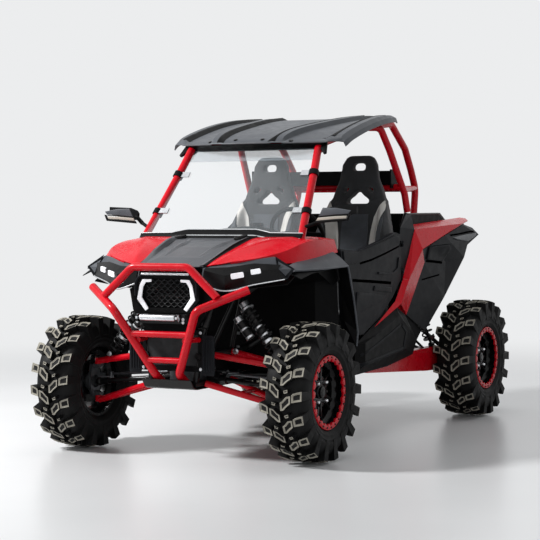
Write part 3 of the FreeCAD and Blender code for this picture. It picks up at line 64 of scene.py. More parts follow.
def aim_camera():
    """Sets up the camera from its three turns and its place."""
    yaw, pitch, roll = (math.radians(turn) for turn in (YAW, PITCH, ROLL))
    ahead = Vector((-math.sin(yaw) * math.cos(pitch), math.cos(yaw) * math.cos(pitch), -math.sin(pitch)))
    right = ahead.cross(Vector((0, 0, 1))).normalized()
    up = right.cross(ahead)
    level = math.cos(roll) * right + math.sin(roll) * up
    upright = math.cos(roll) * up - math.sin(roll) * right
    data = bpy.data.cameras.new("camera")
    data.lens = SENSOR_WIDTH * FOCAL_PIXELS / FRAME_PIXELS
    data.sensor_width = SENSOR_WIDTH
    data.clip_end = 200
    camera = bpy.data.objects.new("camera", data)
    bpy.context.scene.collection.objects.link(camera)
    turn = Matrix((level, upright, -ahead)).transposed().to_4x4()
    camera.matrix_world = Matrix.Translation(CAMERA_PLACE) @ turn
    bpy.context.scene.camera = camera


aim_camera()


# Colours and materials

def colour(code):
    """A linear colour from a hexadecimal screen colour."""
    parts = [int(code[i:i + 2], 16) / 255 for i in (0, 2, 4)]
    return (*[c / 12.92 if c <= 0.04045 else ((c + 0.055) / 1.055) ** 2.4 for c in parts], 1.0)


def add(tree, kind, links=None, **values):
    """Adds one shader node, sets its options and inputs, and joins its inputs to outputs, where
    a node stands for its first output."""
    made = tree.nodes.new("ShaderNode" + kind)
    for key, value in values.items():
        socket = key.replace("_", " ")
        if socket in made.inputs:
            made.inputs[socket].default_value = value
        else:
            setattr(made, key, value)
    for key, source in (links or {}).items():
        tree.links.new(getattr(source, "outputs", [source])[0], made.inputs[key])
    return made


def new_material(name, **values):
    """A material with one shader, its even values on the shader's own sockets, and the piece's own
    coordinates for its patterns."""
    made = bpy.data.materials.new(name)
    made.use_nodes = True
    tree = made.node_tree
    tree.nodes.clear()
    shader = add(tree, "BsdfPrincipled", **values)
    add(tree, "OutputMaterial", {"Surface": shader})
    return made, tree, shader, add(tree, "TexCoord").outputs["Object"]


def clouding(tree, shader, place, size, detail, shades, stops, light=None, lightest=None):
    """Base colour in clouds of this size in millimetres, and a lighter colour where light says so."""
    cloud = add(tree, "TexNoise", {"Vector": place}, Scale=1000 / size, Detail=detail)
    ramp = add(tree, "ValToRGB", {"Fac": cloud})
    for element, stop, shade in zip(ramp.color_ramp.elements, stops, shades):
        element.position = stop
        element.color = colour(shade)
    result = ramp.outputs["Color"]
    if lightest:
        blend = add(tree, "Mix", {0: light, 6: result}, data_type="RGBA")
        blend.inputs[7].default_value = colour(lightest)
        result = blend.outputs[2]
    tree.links.new(result, shader.inputs["Base Color"])
    return cloud


def edge_wear_and_highlight(tree, radius, share):
    """This share of lighter colour on outer edges, where a rounded normal leaves the true one, and none elsewhere: wear
    on plastic, a painted highlight on tyre rubber.
    """
    soft = add(tree, "Bevel", samples=4, Radius=radius / 1000)
    true = add(tree, "NewGeometry").outputs["True Normal"]
    level = add(tree, "VectorMath", {0: soft, 1: true}, operation="DOT_PRODUCT").outputs["Value"]
    return add(tree, "MapRange", {"Value": level}, From_Min=0.80, From_Max=0.995, To_Min=share, To_Max=0.0)


def surface(tree, shader, smear, low, high, relief=None, strength=0.0, depth=0.0):
    """Gloss that wanders between two values, as handling and dust leave it, over fine relief in millimetres."""
    gloss = add(tree, "MapRange", {"Value": smear}, From_Min=0.3, From_Max=0.7, To_Min=low, To_Max=high)
    tree.links.new(gloss.outputs["Result"], shader.inputs["Roughness"])
    if depth:
        fine = add(tree, "Bump", {"Height": relief}, Strength=strength, Distance=depth / 1000)
        tree.links.new(fine.outputs["Normal"], shader.inputs["Normal"])


def gloss_paint(name, base, worn, rough, coat, shine, orange_peel=0.06):
    """Gloss paint or powder coat: even colour with slight clouding and fine orange peel,
    which the eye reads as a thick sprayed coat."""
    made, tree, shader, place = new_material(name, Specular_IOR_Level=shine, Coat_Weight=coat, Coat_Roughness=0.08)
    clouding(tree, shader, place, 160, 2.0, (base, worn), (0.35, 0.75))
    peel = add(tree, "TexNoise", {"Vector": place}, Scale=1000 / 2.5, Detail=2.0)
    smear = add(tree, "TexNoise", {"Vector": place}, Scale=1000 / 60, Detail=4.0)
    surface(tree, shader, smear, rough * 0.75, rough * 1.35, peel, orange_peel, 0.05)
    return made


# Grain of moulded plastic and spacing of seat threads, in millimetres. The real
# ones are finer and wouldn't show, so both are drawn as coarse as they need to show.
PEBBLE = 0.8
THREAD = 1.6


def moulded_plastic(name, base, lighter, rough, shine, edge):
    """Moulded plastic: a fine pebbled grain that breaks up the highlight, slight dust
    clouding, and edges that are rubbed a little lighter."""
    made, tree, shader, place = new_material(name, Specular_IOR_Level=shine)
    clouding(tree, shader, place, 90, 3.0, (base, lighter), (0.3, 0.8), edge_wear_and_highlight(tree, 2.5, 0.5), edge)
    pebble = add(tree, "TexVoronoi", {"Vector": place}, Scale=1000 / PEBBLE)
    smear = add(tree, "TexNoise", {"Vector": place}, Scale=1000 / 45, Detail=3.0)
    surface(tree, shader, smear, rough * 0.85, rough * 1.15, pebble, 0.35, 0.12)
    return made


def rubber(name, base, lighter, edge):
    """Tyre rubber: dull, nearly black, with a grey bloom and block edges drawn lighter, a painted highlight."""
    made, tree, shader, place = new_material(name, Specular_IOR_Level=0.12)
    # On tyre rubber the lighter edges are a painted highlight.
    cloud = clouding(tree, shader, place, 35, 4.0, (base, lighter), (0.3, 0.75), edge_wear_and_highlight(tree, 2.0, 0.55), edge)
    fine = add(tree, "TexNoise", {"Vector": place}, Scale=1000 / 1.2, Detail=3.0)
    surface(tree, shader, cloud, 0.5, 0.72, fine, 0.3, 0.25)
    return made


def bare_metal(name, base, darker, rough, scratch=1.5, metal=1.0):
    """Bare or cast metal: bright with faint dulled patches and fine marks in the polish."""
    made, tree, shader, place = new_material(name, Metallic=metal)
    clouding(tree, shader, place, 25, 4.0, (base, darker), (0.3, 0.75))
    fine = add(tree, "TexNoise", {"Vector": place}, Scale=1000 / scratch, Detail=4.0, Roughness=0.7)
    surface(tree, shader, fine, rough * 0.7, rough * 1.4, fine, 0.25, 0.1)
    return made


def clear_sheet(name, base, cover, rough):
    """Clear or tinted polycarbonate: mostly see-through, with a pale veil and a soft reflection."""
    made, tree, shader, place = new_material(name, Base_Color=colour(base), Alpha=cover)
    dust = add(tree, "TexNoise", {"Vector": place}, Scale=1000 / 120, Detail=4.0)
    surface(tree, shader, dust, rough * 0.6, rough * 1.5)
    return made


def woven(name, base, lighter):
    """Coarse seat cloth: crossed threads that catch the light, and a soft sheen at grazing angles."""
    made, tree, shader, place = new_material(name, Roughness=0.85, Sheen_Weight=0.3)
    threads = [add(tree, "TexWave", {"Vector": place}, bands_direction=way, Scale=1000 / (6 * THREAD),
                   Distortion=0.6).outputs["Fac"] for way in "XZ"]
    weave = add(tree, "Math", dict(enumerate(threads)), operation="MULTIPLY")
    light = add(tree, "MapRange", {"Value": weave}, From_Min=0.0, From_Max=1.0, To_Min=0.0, To_Max=0.35)
    clouding(tree, shader, place, 60, 3.0, (base, lighter), (0.3, 0.8), light, lighter)
    relief = add(tree, "Bump", {"Height": weave}, Strength=0.5, Distance=0.4 / 1000)
    tree.links.new(relief.outputs["Normal"], shader.inputs["Normal"])
    return made


def white_lens(name):
    """White lamp lens: milky plastic over a lit strip, brighter than paint."""
    made, tree, shader, place = new_material(name, Base_Color=colour("f4f5f8"), Emission_Color=colour("f7f9ff"),
                                             Emission_Strength=0.35)
    fine = add(tree, "TexNoise", {"Vector": place}, Scale=1000 / 3, Detail=2.0)
    surface(tree, shader, fine, 0.12, 0.22)
    return made


# Injection-moulded red ABS: clean, even and saturated on the big outer panels.
red_plastic = gloss_paint("red_gloss_plastic", "c6051a", "ce091f", 0.24, 0.03, 0.12, 0.0)
# Powder-coated steel tube in red: a little deeper, with rounder highlights.
red_coat = gloss_paint("red_powder_coat", "bc0618", "c80a1e", 0.26, 0.05, 0.20, 0.02)
# The same coat in black, on frame, links and bolts: satin with soft glints.
black_coat = gloss_paint("black_powder_coat", "09090a", "0e0e0f", 0.34, 0.08, 0.2)
# Painted alloy of the rims: deep black with sharper glints on the spokes.
wheel_paint = gloss_paint("black_wheel_paint", "060607", "0a0a0b", 0.24, 0.12, 0.18)
# Smoked polycarbonate over the lamps: nearly black, so only the white lenses stand out.
lamp_smoke = gloss_paint("smoked_lamp_glass", "040405", "060607", 0.30, 0.05, 0.16, 0.0)
# Red acrylic of the tail lamps: the glossiest red, dark in its depth.
red_lens = gloss_paint("red_lamp_lens", "a3000c", "b40814", 0.12, 0.3, 0.5, 0.0)
# Coated wire of the grille: grey-black ribs that stand off the dark behind them.
mesh_steel = gloss_paint("satin_black_mesh", "1d1e20", "26282a", 0.3, 0.1, 0.5)
# Polypropylene in greys, matt and dusty, from the nearly black doors up to the roof and bonnet greys: these two are the
# dark plastic drawn lighter, a painted highlight from the light above.
lit_grey_plastic = moulded_plastic("grey_plastic_painted_highlight", "43464b", "4f5257", 0.42, 0.22, "8e9196")
lit_gunmetal_plastic = moulded_plastic("gunmetal_plastic_painted_highlight", "46484c", "525458", 0.36, 0.3, "9a9da2")
panel_plastic = moulded_plastic("charcoal_moulded_plastic", "121316", "18191c", 0.42, 0.06, "4e5156")
black_plastic = moulded_plastic("black_moulded_plastic", "070708", "0b0b0c", 0.5, 0.07, "242526")
# Stone-coloured band of the mirrors: the one warm pale plastic.
band_plastic = moulded_plastic("stone_moulded_plastic", "a09a90", "aca69c", 0.35, 0.3, "d2cdc4")
# Pale grey for the cut edges of the clear sheet and the lines along the seal: a painted highlight where they catch the
# light.
edge_highlight = moulded_plastic("pale_edge_painted_highlight", "b9bdc0", "ced1d3", 0.2, 0.5, "e2e4e5")
# Matt black with no shine, a painted shade: it darkens slots, creases and joints, and lies where ledges cast their
# shadow.
painted_shade = moulded_plastic("matt_black_painted_shade", "020202", "030303", 0.85, 0.0, "050505")
# Tyre rubber, and paler rubber on the lugs' raised borders that draws the tread: a painted highlight where light
# catches them.
tyre_rubber = rubber("tyre_rubber", "101011", "181818", "2c2c27")
lug_highlight = rubber("lug_edge_rubber", "807c72", "979388", "bdb9ac")
# Brushed aluminium, rough castings, and the radiator's dull fins.
silver = bare_metal("brushed_aluminium", "d2d4d7", "b9bbbe", 0.30)
cast_metal = bare_metal("cast_aluminium", "6d6f72", "55575a", 0.5, 3.0)
dark_core = bare_metal("radiator_fins", "2a2b2d", "1d1e1f", 0.5, 2.0, 0.6)
# Clear windscreen with a faint veil, and the tinted film along its top.
screen = clear_sheet("clear_polycarbonate", "dbe3e8", 0.07, 0.04)
tinted_film = clear_sheet("tinted_film", "a4aeb5", 0.26, 0.15)
lens_white = white_lens("white_lens")
# Seat cloth: black shell, grey flanks and cream bolsters.
cloth_dark = woven("dark_seat_cloth", "17181a", "26282b")
cloth_grey = woven("grey_seat_cloth", "33363b", "45494f")
cloth_light = woven("cream_seat_cloth", "c9c7c1", "dddbd6")

# The record's slots, each with its materials: the first dresses the carried-over nodes.
SLOTS = {
    "tyre_rubber": [tyre_rubber], "black_wheel": [wheel_paint], "red_paint": [red_coat],
    "black_steel": [black_coat], "red_plastic": [red_plastic],
    "dark_plastic": [panel_plastic, lit_grey_plastic, lit_gunmetal_plastic, band_plastic],
    "black_plastic": [black_plastic, painted_shade, lamp_smoke, mesh_steel],
    "screen": [screen, tinted_film, edge_highlight], "light_cover": [lens_white], "silver": [silver],
    "seat_cloth": [cloth_dark, cloth_grey, cloth_light], "cast_metal": [cast_metal], "core": [dark_core]}
# Roof and lamp housings take the lighter grey, and the bonnet the lighter gunmetal: painted highlights.
OWN = {"roof": lit_grey_plastic, "hood": lit_gunmetal_plastic, "lamp_housings": lit_grey_plastic, "wheel_liners": black_plastic,
       "front_arches": black_plastic, "tail_lamps": red_lens, "tie_rods": cast_metal}


def dress_nodes():
    """Gives every carried-over node its finish, by its own name or else by its slot."""
    slots = {part["node"]: part["material_slot"] for part in frame["record"]["subparts"]}
    for name, thing in nodes.items():
        wanted = OWN.get(name) or SLOTS[slots[name]][0]
        for holder in thing.material_slots:
            holder.material = wanted
        if not thing.material_slots:
            thing.data.materials.append(wanted)


dress_nodes()


# Modelling helpers

def only(thing):
    """Selects this piece alone."""
    bpy.ops.object.select_all(action="DESELECT")
    thing.select_set(True)
    bpy.context.view_layer.objects.active = thing


def outline(name, points, filled=True):
    """A flat face, or an open ring of edges, through these points."""
    bpy.ops.object.select_all(action="DESELECT")
    bpy.ops.mesh.primitive_circle_add(vertices=len(points), fill_type="NGON" if filled else "NOTHING")
    made = bpy.context.active_object
    made.name = name
    for vertex, point in zip(made.data.vertices, points):
        vertex.co = Vector(point)
    return made


def start_edit(thing, select="SELECT"):
    """Edit mode on this piece alone, with everything or nothing selected."""
    only(thing)
    bpy.ops.object.mode_set(mode="EDIT")
    bpy.ops.mesh.select_all(action=select)


def end_edit(outwards=False):
    """Leaves edit mode, once all faces are turned outwards where that is asked."""
    if outwards:
        bpy.ops.mesh.select_all(action="SELECT")
        bpy.ops.mesh.normals_make_consistent(inside=False)
    bpy.ops.object.mode_set(mode="OBJECT")


def edit_where(thing, kind, test):
    """Edit mode with only the corners or faces selected that pass a test; says whether any did."""
    start_edit(thing, "DESELECT")
    end_edit()
    chosen = [element for element in getattr(thing.data, kind) if test(element)]
    for element in chosen:
        element.select = True
    if chosen:
        bpy.ops.object.mode_set(mode="EDIT")
    return bool(chosen)


def extruded(push, rim=0.0, sink=(0, 0, 0)):
    """In edit mode, pushes the face out, and sinks its middle behind a rim of this width."""
    bpy.ops.mesh.extrude_region_move(TRANSFORM_OT_translate={"value": tuple(push)})
    if rim:
        bpy.ops.mesh.inset(thickness=rim)
        bpy.ops.transform.translate(value=tuple(sink))
    end_edit(outwards=True)


def cut_up(cuts):
    """In edit mode, splits a wide face into small triangles that can follow another surface."""
    bpy.ops.mesh.quads_convert_to_tris(quad_method="BEAUTY", ngon_method="BEAUTY")
    bpy.ops.mesh.subdivide(number_cuts=cuts)
    end_edit()


def closed(thing):
    """Merges doubled corners and turns every face outwards."""
    start_edit(thing)
    bpy.ops.mesh.remove_doubles(threshold=0.00005)
    end_edit(outwards=True)
    return thing


def finish(thing, material, angle=30, body="chassis"):
    """Gives a bare piece its material, shades it, and lets it ride on a body."""
    only(thing)
    bpy.ops.object.shade_smooth_by_angle(angle=math.radians(angle))
    if not thing.data.materials:
        thing.data.materials.append(material)
    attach(thing, body)
    return thing


def apply(thing, kind, **options):
    """Adds a modifier with these options and applies it."""
    only(thing)
    made = thing.modifiers.new(kind.lower(), kind)
    for key, value in options.items():
        setattr(made, key, value)
    bpy.ops.object.modifier_apply(modifier=made.name)
    return thing


def plate(name, points, push, round_edge=0.0015, steps=2):
    """A flat plate: an outline pushed along a direction, with rounded edges."""
    made = outline(name, points)
    start_edit(made)
    extruded(push)
    if round_edge:
        apply(made, "BEVEL", width=round_edge, segments=steps, limit_method="ANGLE")
    return made


def facing(y, marks):
    """Points drawn from the front, at this place behind the axle: sideways and height."""
    return [spot(x, y, z) for x, z in marks]


def beside(x, marks):
    """Points drawn from the side, at this distance from the middle: place behind the axle and height."""
    return [spot(x, y, z) for y, z in marks]


X_AXIS = (1, 0, 0)


def turned(name, profile, steps, place, axis):
    """A piece spun from a closed profile of (distance along, radius) about an axis through a place."""
    made = outline(name, [(along, 0, radius) for along, radius in profile], False)
    start_edit(made)
    bpy.ops.mesh.spin(steps=steps, angle=math.tau, center=(0, 0, 0), axis=X_AXIS)
    end_edit()
    closed(made)
    turn = Vector(axis).to_track_quat("X", "Z").to_matrix().to_4x4()
    made.data.transform(Matrix.Translation(place) @ turn)
    return made


def joined(name, things):
    """Several pieces as one object."""
    only(things[0])
    for thing in things:
        thing.select_set(True)
    if len(things) > 1:
        bpy.ops.object.join()
    things[0].name = name
    return things[0]


def copied(name, source, change):
    """A copy with its own mesh, moved or mirrored by a matrix."""
    made = bpy.data.objects.new(name, source.data.copy())
    bpy.context.scene.collection.objects.link(made)
    made.data.transform(change)
    if change.determinant() < 0:
        made.data.flip_normals()
    return made


MIRROR = Matrix.Scale(-1, 4, X_AXIS)


def fit(name, things, material, angle=30):
    """Joins pieces into one finished part of the chassis."""
    return finish(joined(name, things), material, angle)


def fit_pair(name, things, material, angle=30):
    """The same, with the mirror image on the vehicle's right in the same object."""
    left = joined(name, things)
    return fit(name, [left, copied(name + "_right", left, MIRROR)], material, angle)


def sheet(name, rows, wall, creased=(), levels=2, even=True):
    """A moulded sheet through rows of points, rounded between its creased columns."""
    across, along = len(rows[0]), len(rows)
    bpy.ops.object.select_all(action="DESELECT")
    bpy.ops.mesh.primitive_grid_add(x_subdivisions=across - 1, y_subdivisions=along - 1)
    made = bpy.context.active_object
    made.name = name
    for vertex, point in zip(made.data.vertices, [point for row in rows for point in row]):
        vertex.co = spot(*point)
    if levels:
        sharp = made.data.attributes.new("crease_edge", "FLOAT", "EDGE")
        for edge in made.data.edges:
            columns = {k % across for k in edge.vertices}
            if len(columns) == 1 and columns & set(creased):
                sharp.data[edge.index].value = 1.0
        apply(made, "SUBSURF", levels=levels, render_levels=levels, boundary_smooth="PRESERVE_CORNERS")
    apply(made, "SOLIDIFY", thickness=wall, offset=0, use_even_offset=even)
    return made


def rod(name, points, radius, smooth=False):
    """A round bar, wire or bead that follows a path of points."""
    bpy.ops.object.select_all(action="DESELECT")
    bpy.ops.curve.primitive_bezier_curve_add()
    made = bpy.context.active_object
    made.name = name
    path = made.data
    path.splines.clear()
    line = path.splines.new("BEZIER" if smooth else "POLY")
    marks = line.bezier_points if smooth else line.points
    marks.add(len(points) - 1)
    for mark, point in zip(marks, points):
        if smooth:
            mark.co = point
            mark.handle_left_type = mark.handle_right_type = "AUTO"
        else:
            mark.co = (*point, 1)
    line.resolution_u = 6
    path.dimensions = "3D"
    path.bevel_depth = radius
    path.bevel_resolution = 3
    path.use_fill_caps = True
    bpy.ops.object.convert(target="MESH")
    return closed(made)


def bolt(name, place, axis, radius, high, sides=12):
    """A bolt head: a low prism with a washer under it."""
    profile = [(0, 0), (0, radius * 1.35), (high * 0.25, radius * 1.35), (high * 0.25, radius),
               (high * 0.85, radius), (high, radius * 0.85), (high, 0)]
    return turned(name, profile, sides, place, axis)


# Tyres

# Wheel centres, the tyre's half width and radius, its carcass under the lugs, and lugs in a row.
WHEEL_X = 0.707
WHEEL_Z = 0.368
TYRE_HALF = 0.121
TYRE_RADIUS = 0.3672
CARCASS = 0.332
LUGS = 18
WHEEL_BASE = 2.286
CORNERS = {
    "fl": ("wheel_front_left", 1, AXLE), "fr": ("wheel_front_right", -1, AXLE),
    "rl": ("wheel_rear_left", 1, AXLE + WHEEL_BASE), "rr": ("wheel_rear_right", -1, AXLE + WHEEL_BASE)}


def carcass_height(x):
    """Radius of the tyre's carcass at a distance from its middle."""
    far = max(0.0, abs(x) - 0.070) / 0.051
    return CARCASS - 0.034 * min(far, 1.0) ** 2.2


def lug_block(marks, rim, side_drop=0.0):
    """One rubber block: outline in millimetres across and round the tread, with a raised border in painted highlight.
    """
    made = outline("lug", [(x / 1000, along / 1000, 0) for x, along in marks])
    start_edit(made)
    extruded((0, 0, 1), rim, (0, 0, -0.1))
    made.data.materials.append(tyre_rubber)
    made.data.materials.append(lug_highlight)
    # The raised border's faces take the paler rubber: a painted highlight.
    for face in made.data.polygons:
        flat = [made.data.vertices[k].co.z for k in face.vertices]
        if min(flat) > 0.5 and max(flat) > 0.95:
            face.material_index = 1
    for vertex in made.data.vertices:
        x, along, high = vertex.co
        foot = carcass_height(x) - 0.006 - side_drop * max(0.0, abs(x) - 0.100) / 0.021
        top = TYRE_RADIUS - 0.010 * (abs(x) / TYRE_HALF) ** 4
        radius = foot + (top - foot) * high if high > 0.01 else foot
        spread = 1.0 if high > 0.5 else 1.06
        turn = along * spread / top
        vertex.co = Vector((x, radius * math.sin(turn), radius * math.cos(turn)))
    return made


def tyre_form():
    """A tyre about X at the origin: carcass with ribbed sidewalls and two rows of chevron lugs."""
    half = [(0.000, 0.332), (0.040, 0.332), (0.075, 0.331), (0.095, 0.324), (0.108, 0.311), (0.116, 0.293),
            (0.1195, 0.275), (0.1195, 0.262), (0.117, 0.258), (0.1165, 0.250), (0.1185, 0.246), (0.1165, 0.242),
            (0.1125, 0.226), (0.1135, 0.222), (0.1105, 0.218), (0.106, 0.206), (0.094, 0.1955),
            (0.086, 0.1925), (0.086, 0.183)]
    inner = [(0.070, 0.183), (0.070, 0.203), (0.102, 0.246), (0.100, 0.290), (0.071, 0.316), (0.000, 0.318)]
    loop = half + inner + [(-x, r) for x, r in reversed(inner[:-1])] + [(-x, r) for x, r in reversed(half[1:])]
    carcass = turned("carcass", loop, 96, (0, 0, 0), X_AXIS)
    carcass.data.materials.append(tyre_rubber)
    carcass.data.materials.append(lug_highlight)
    blocks = [
        lug_block([(3, -62), (20, -60), (38, -42), (61, -24), (61, 16), (36, 10), (16, -12), (3, -20)], 0.0095),
        lug_block([(67, -20), (96, -14), (121, -10), (121, 40), (96, 34), (78, 28), (67, 20)], 0.0105, 0.048),
        lug_block([(26, 26), (46, 32), (44, 48), (22, 40)], 0.005)]
    lug = joined("lug_set", blocks)
    opposite = copied("lug_opposite", lug, Matrix.Rotation(math.pi / LUGS, 4, "X") @ MIRROR)
    rows = [carcass]
    for source in (lug, opposite):
        for k in range(LUGS):
            rows.append(copied("lug_%d" % k, source, Matrix.Rotation(math.tau * k / LUGS, 4, "X")))
        bpy.data.objects.remove(source)
    made = joined("tyre_form", rows)
    apply(made, "BEVEL", width=0.0018, segments=1, limit_method="ANGLE", angle_limit=math.radians(50))
    return made


def tyres():
    """Four rubber tyres from one form, each turned a little and with its tread facing forwards."""
    form = tyre_form()
    for corner, (body, hand, reach) in CORNERS.items():
        turn = Matrix.Rotation(math.radians(3 + 7 * hand), 4, "X")
        place = Matrix.Translation((hand * WHEEL_X, reach, WHEEL_Z))
        side = Matrix.Identity(4) if hand > 0 else MIRROR
        made = copied("rubber_" + corner, form, place @ side @ turn)
        finish(made, tyre_rubber, 30, body)
        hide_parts("tyre_" + corner)
    bpy.data.objects.remove(form)


tyres()


# Seats

# Each seat's middle, and the place in front of the seats from which their panels are pressed on.
SEAT_SIDE = 0.304
SEAT_FRONT = AXLE + 1.099


def padding(thing, pressure, reach):
    """Blows the form up like foam under cloth, and keeps each point near its start."""
    before = [vertex.co.copy() for vertex in thing.data.vertices]
    only(thing)
    made = thing.modifiers.new("padding", "CLOTH")
    rules = made.settings
    rules.use_pressure = True
    rules.uniform_pressure_force = pressure
    rules.effector_weights.gravity = 0
    scene = bpy.context.scene
    for step in range(1, 21):
        scene.frame_set(step)
    bpy.ops.object.modifier_apply(modifier=made.name)
    scene.frame_set(1)
    for vertex, first in zip(thing.data.vertices, before):
        move = vertex.co - first
        if move.length > reach:
            vertex.co = first + move.normalized() * reach


def soft_copy(name, node, grain, puff):
    """The seat's form as one padded piece, from its plain solid."""
    made = bpy.data.objects.new(name, nodes[node].data.copy())
    bpy.context.scene.collection.objects.link(made)
    closed(made)
    apply(made, "REMESH", mode="VOXEL", voxel_size=grain)
    apply(made, "SMOOTH", factor=0.6, iterations=6)
    padding(made, 4.0, puff)
    return made


def trim_missed(thing, axis, start):
    """Deletes the corners that found no surface and still lie where the outline was drawn."""
    if edit_where(thing, "vertices", lambda corner: abs(corner.co[axis] - start) < 0.002):
        bpy.ops.mesh.delete(type="VERT")
        end_edit()


def seat_insert(name, marks, seat, side, thick=0.004):
    """A cloth panel laid on the seat's face: outline as sideways and height, pressed on from the front."""
    made = outline(name, [(side + x / 1000, SEAT_FRONT, z / 1000) for x, z in marks])
    start_edit(made)
    cut_up(5)
    apply(made, "SHRINKWRAP", target=seat, wrap_method="PROJECT", use_project_y=True,
          use_positive_direction=True, use_negative_direction=False, offset=0.002)
    trim_missed(made, 1, SEAT_FRONT)
    apply(made, "SMOOTH", factor=0.5, iterations=3, use_x=False, use_z=False)
    apply(made, "SOLIDIFY", thickness=thick, offset=0)
    closed(made)
    return made


def seats():
    """Both bucket seats from one padded form, with cream and grey panels on their faces."""
    form = soft_copy("bucket_form", "seat_left", 0.008, 0.007)
    bolster = [(186, 1372), (172, 1356), (152, 1324), (124, 1270), (108, 1186), (100, 1090), (106, 1000), (122, 900),
               (146, 836), (190, 836), (180, 900), (170, 1000), (168, 1090), (172, 1180), (182, 1260), (196, 1312)]
    flank = [(194, 1276), (184, 1230), (178, 1180), (175, 1090), (177, 1000), (184, 900), (198, 850), (210, 860),
             (212, 1000), (210, 1130), (204, 1240)]
    middle = [(-84, 1286), (84, 1286), (88, 1180), (84, 1060), (70, 1020), (-70, 1020), (-84, 1060), (-88, 1180)]
    for node, side in (("seat_left", SEAT_SIDE), ("seat_right", -SEAT_SIDE)):
        seat = copied(node.replace("seat", "bucket"), form, Matrix.Translation((side - SEAT_SIDE, 0, 0)))
        inserts, flanks = [], []
        for hand in (1, -1):
            inserts.append(seat_insert("bolster_insert", [(hand * x, z) for x, z in bolster], seat, side))
            flanks.append(seat_insert("bolster_side", [(hand * x, z) for x, z in flank], seat, side))
        flanks.append(seat_insert("back_panel", middle, seat, side, 0.007))
        fit("side_panels_" + node[5:], flanks, cloth_grey, 60)
        apply(seat, "SUBSURF", levels=1, render_levels=1)
        finish(seat, cloth_dark, 60)
        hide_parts(node)
        fit("light_panels_" + node[5:], inserts, cloth_light, 60)
    bpy.data.objects.remove(form)


seats()


# Wheels: red clamp rings and bright wheel nuts

def circle(count, shift, along, radii):
    """Places round the wheel's axis, shifted by a share of a step, whose radii take turns."""
    turns = [math.tau * (k + shift) / count for k in range(count)]
    reach = [radii[k % len(radii)] for k in range(count)]
    return [(along, far * math.sin(turn), far * math.cos(turn)) for far, turn in zip(reach, turns)]


def ring_form():
    """Clamp ring about X at the origin, with a notched inner edge and bolts between the notches."""
    radii = {"outer_edge": (0.1945,), "inner_edge": (0.1625, 0.1625, 0.1735, 0.1735)}
    made = joined("ring_form", [outline(name, circle(96, 0, 0, own), False) for name, own in radii.items()])
    start_edit(made)
    bpy.ops.mesh.bridge_edge_loops()
    bpy.ops.mesh.select_all(action="SELECT")
    extruded((0.013, 0, 0))
    apply(made, "BEVEL", width=0.0022, segments=2, limit_method="ANGLE")
    made.data.materials.append(red_coat)
    made.data.materials.append(black_coat)
    heads = [bolt("ring_bolt", place, X_AXIS, 0.0045, 0.004) for place in circle(24, 0.62, 0.0128, (0.1835,))]
    screws = joined("ring_bolts", heads)
    screws.data.materials.append(black_coat)
    return joined("ring_form", [made, screws])


def nut_form():
    """Four domed wheel nuts about X at the origin."""
    profile = [(0, 0), (0, 0.0115), (0.020, 0.0105), (0.026, 0.0075), (0.029, 0)]
    return joined("nut_form", [turned("nut", profile, 12, place, X_AXIS) for place in circle(4, 0.5, 0.030, (0.0685,))])


def wheels():
    """Clamp ring, nuts and centre cap of each wheel, from one form of each."""
    ring, nuts = ring_form(), nut_form()
    profile = [(0, 0), (0, 0.031), (0.009, 0.031), (0.011, 0.027), (0.0112, 0.019), (0.014, 0.017), (0.014, 0)]
    cap = turned("cap", profile, 32, (0.044, 0, 0), X_AXIS)
    for corner, (body, hand, reach) in CORNERS.items():
        side = Matrix.Identity(4) if hand > 0 else MIRROR
        edge = Matrix.Translation((hand * (WHEEL_X + 0.0915), reach, WHEEL_Z)) @ side
        made = copied("clamp_ring_" + corner, ring, edge)
        finish(made, red_coat, 30, body)
        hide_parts("beadlock_" + corner)
        hub = Matrix.Translation((hand * (WHEEL_X + 0.014), reach, WHEEL_Z)) @ side
        finish(copied("wheel_nuts_" + corner, nuts, hub), silver, 30, body)
        finish(copied("centre_cap_" + corner, cap, hub), wheel_paint, 30, body)
    for form in (cap, ring, nuts):
        bpy.data.objects.remove(form)


wheels()


# Front: red panels, lamps, grille and bumper fittings

def fender_shells():
    """Red panels beside the bonnet: a crest, a shallow valley and a hard outer crease over a dark side."""
    rows = [
        [(205, -229, 1024), (240, -216, 1031), (284, -200, 1036), (328, -184, 1046), (330, -170, 1026)],
        [(215, -140, 1057), (275, -135, 1076), (340, -128, 1064), (424, -120, 1060), (432, -104, 1032)],
        [(226, -50, 1089), (305, -45, 1110), (385, -45, 1089), (500, -70, 1078), (514, -46, 1040)],
        [(234, 30, 1113), (340, 30, 1131), (430, 25, 1106), (552, 15, 1098), (594, -18, 1036)],
        [(243, 110, 1139), (385, 112, 1153), (475, 110, 1128), (568, 100, 1124), (606, 96, 1040)],
        [(250, 180, 1158), (430, 182, 1164), (505, 182, 1147), (575, 190, 1142), (609, 180, 1050)],
        [(258, 255, 1168), (465, 268, 1170), (520, 268, 1162), (573, 300, 1154), (611, 300, 1062)],
        [(400, 310, 1168), (478, 340, 1169), (522, 370, 1163), (566, 440, 1152), (609, 420, 1072)],
        [(470, 400, 1166), (494, 440, 1166), (520, 510, 1161), (548, 606, 1150), (604, 534, 1081)]]
    shell = sheet("fender_shell", rows, 0.004, (1, 3), even=False)
    made = fit_pair("fender_shells", [shell], red_plastic, 32)
    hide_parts("front_panels")


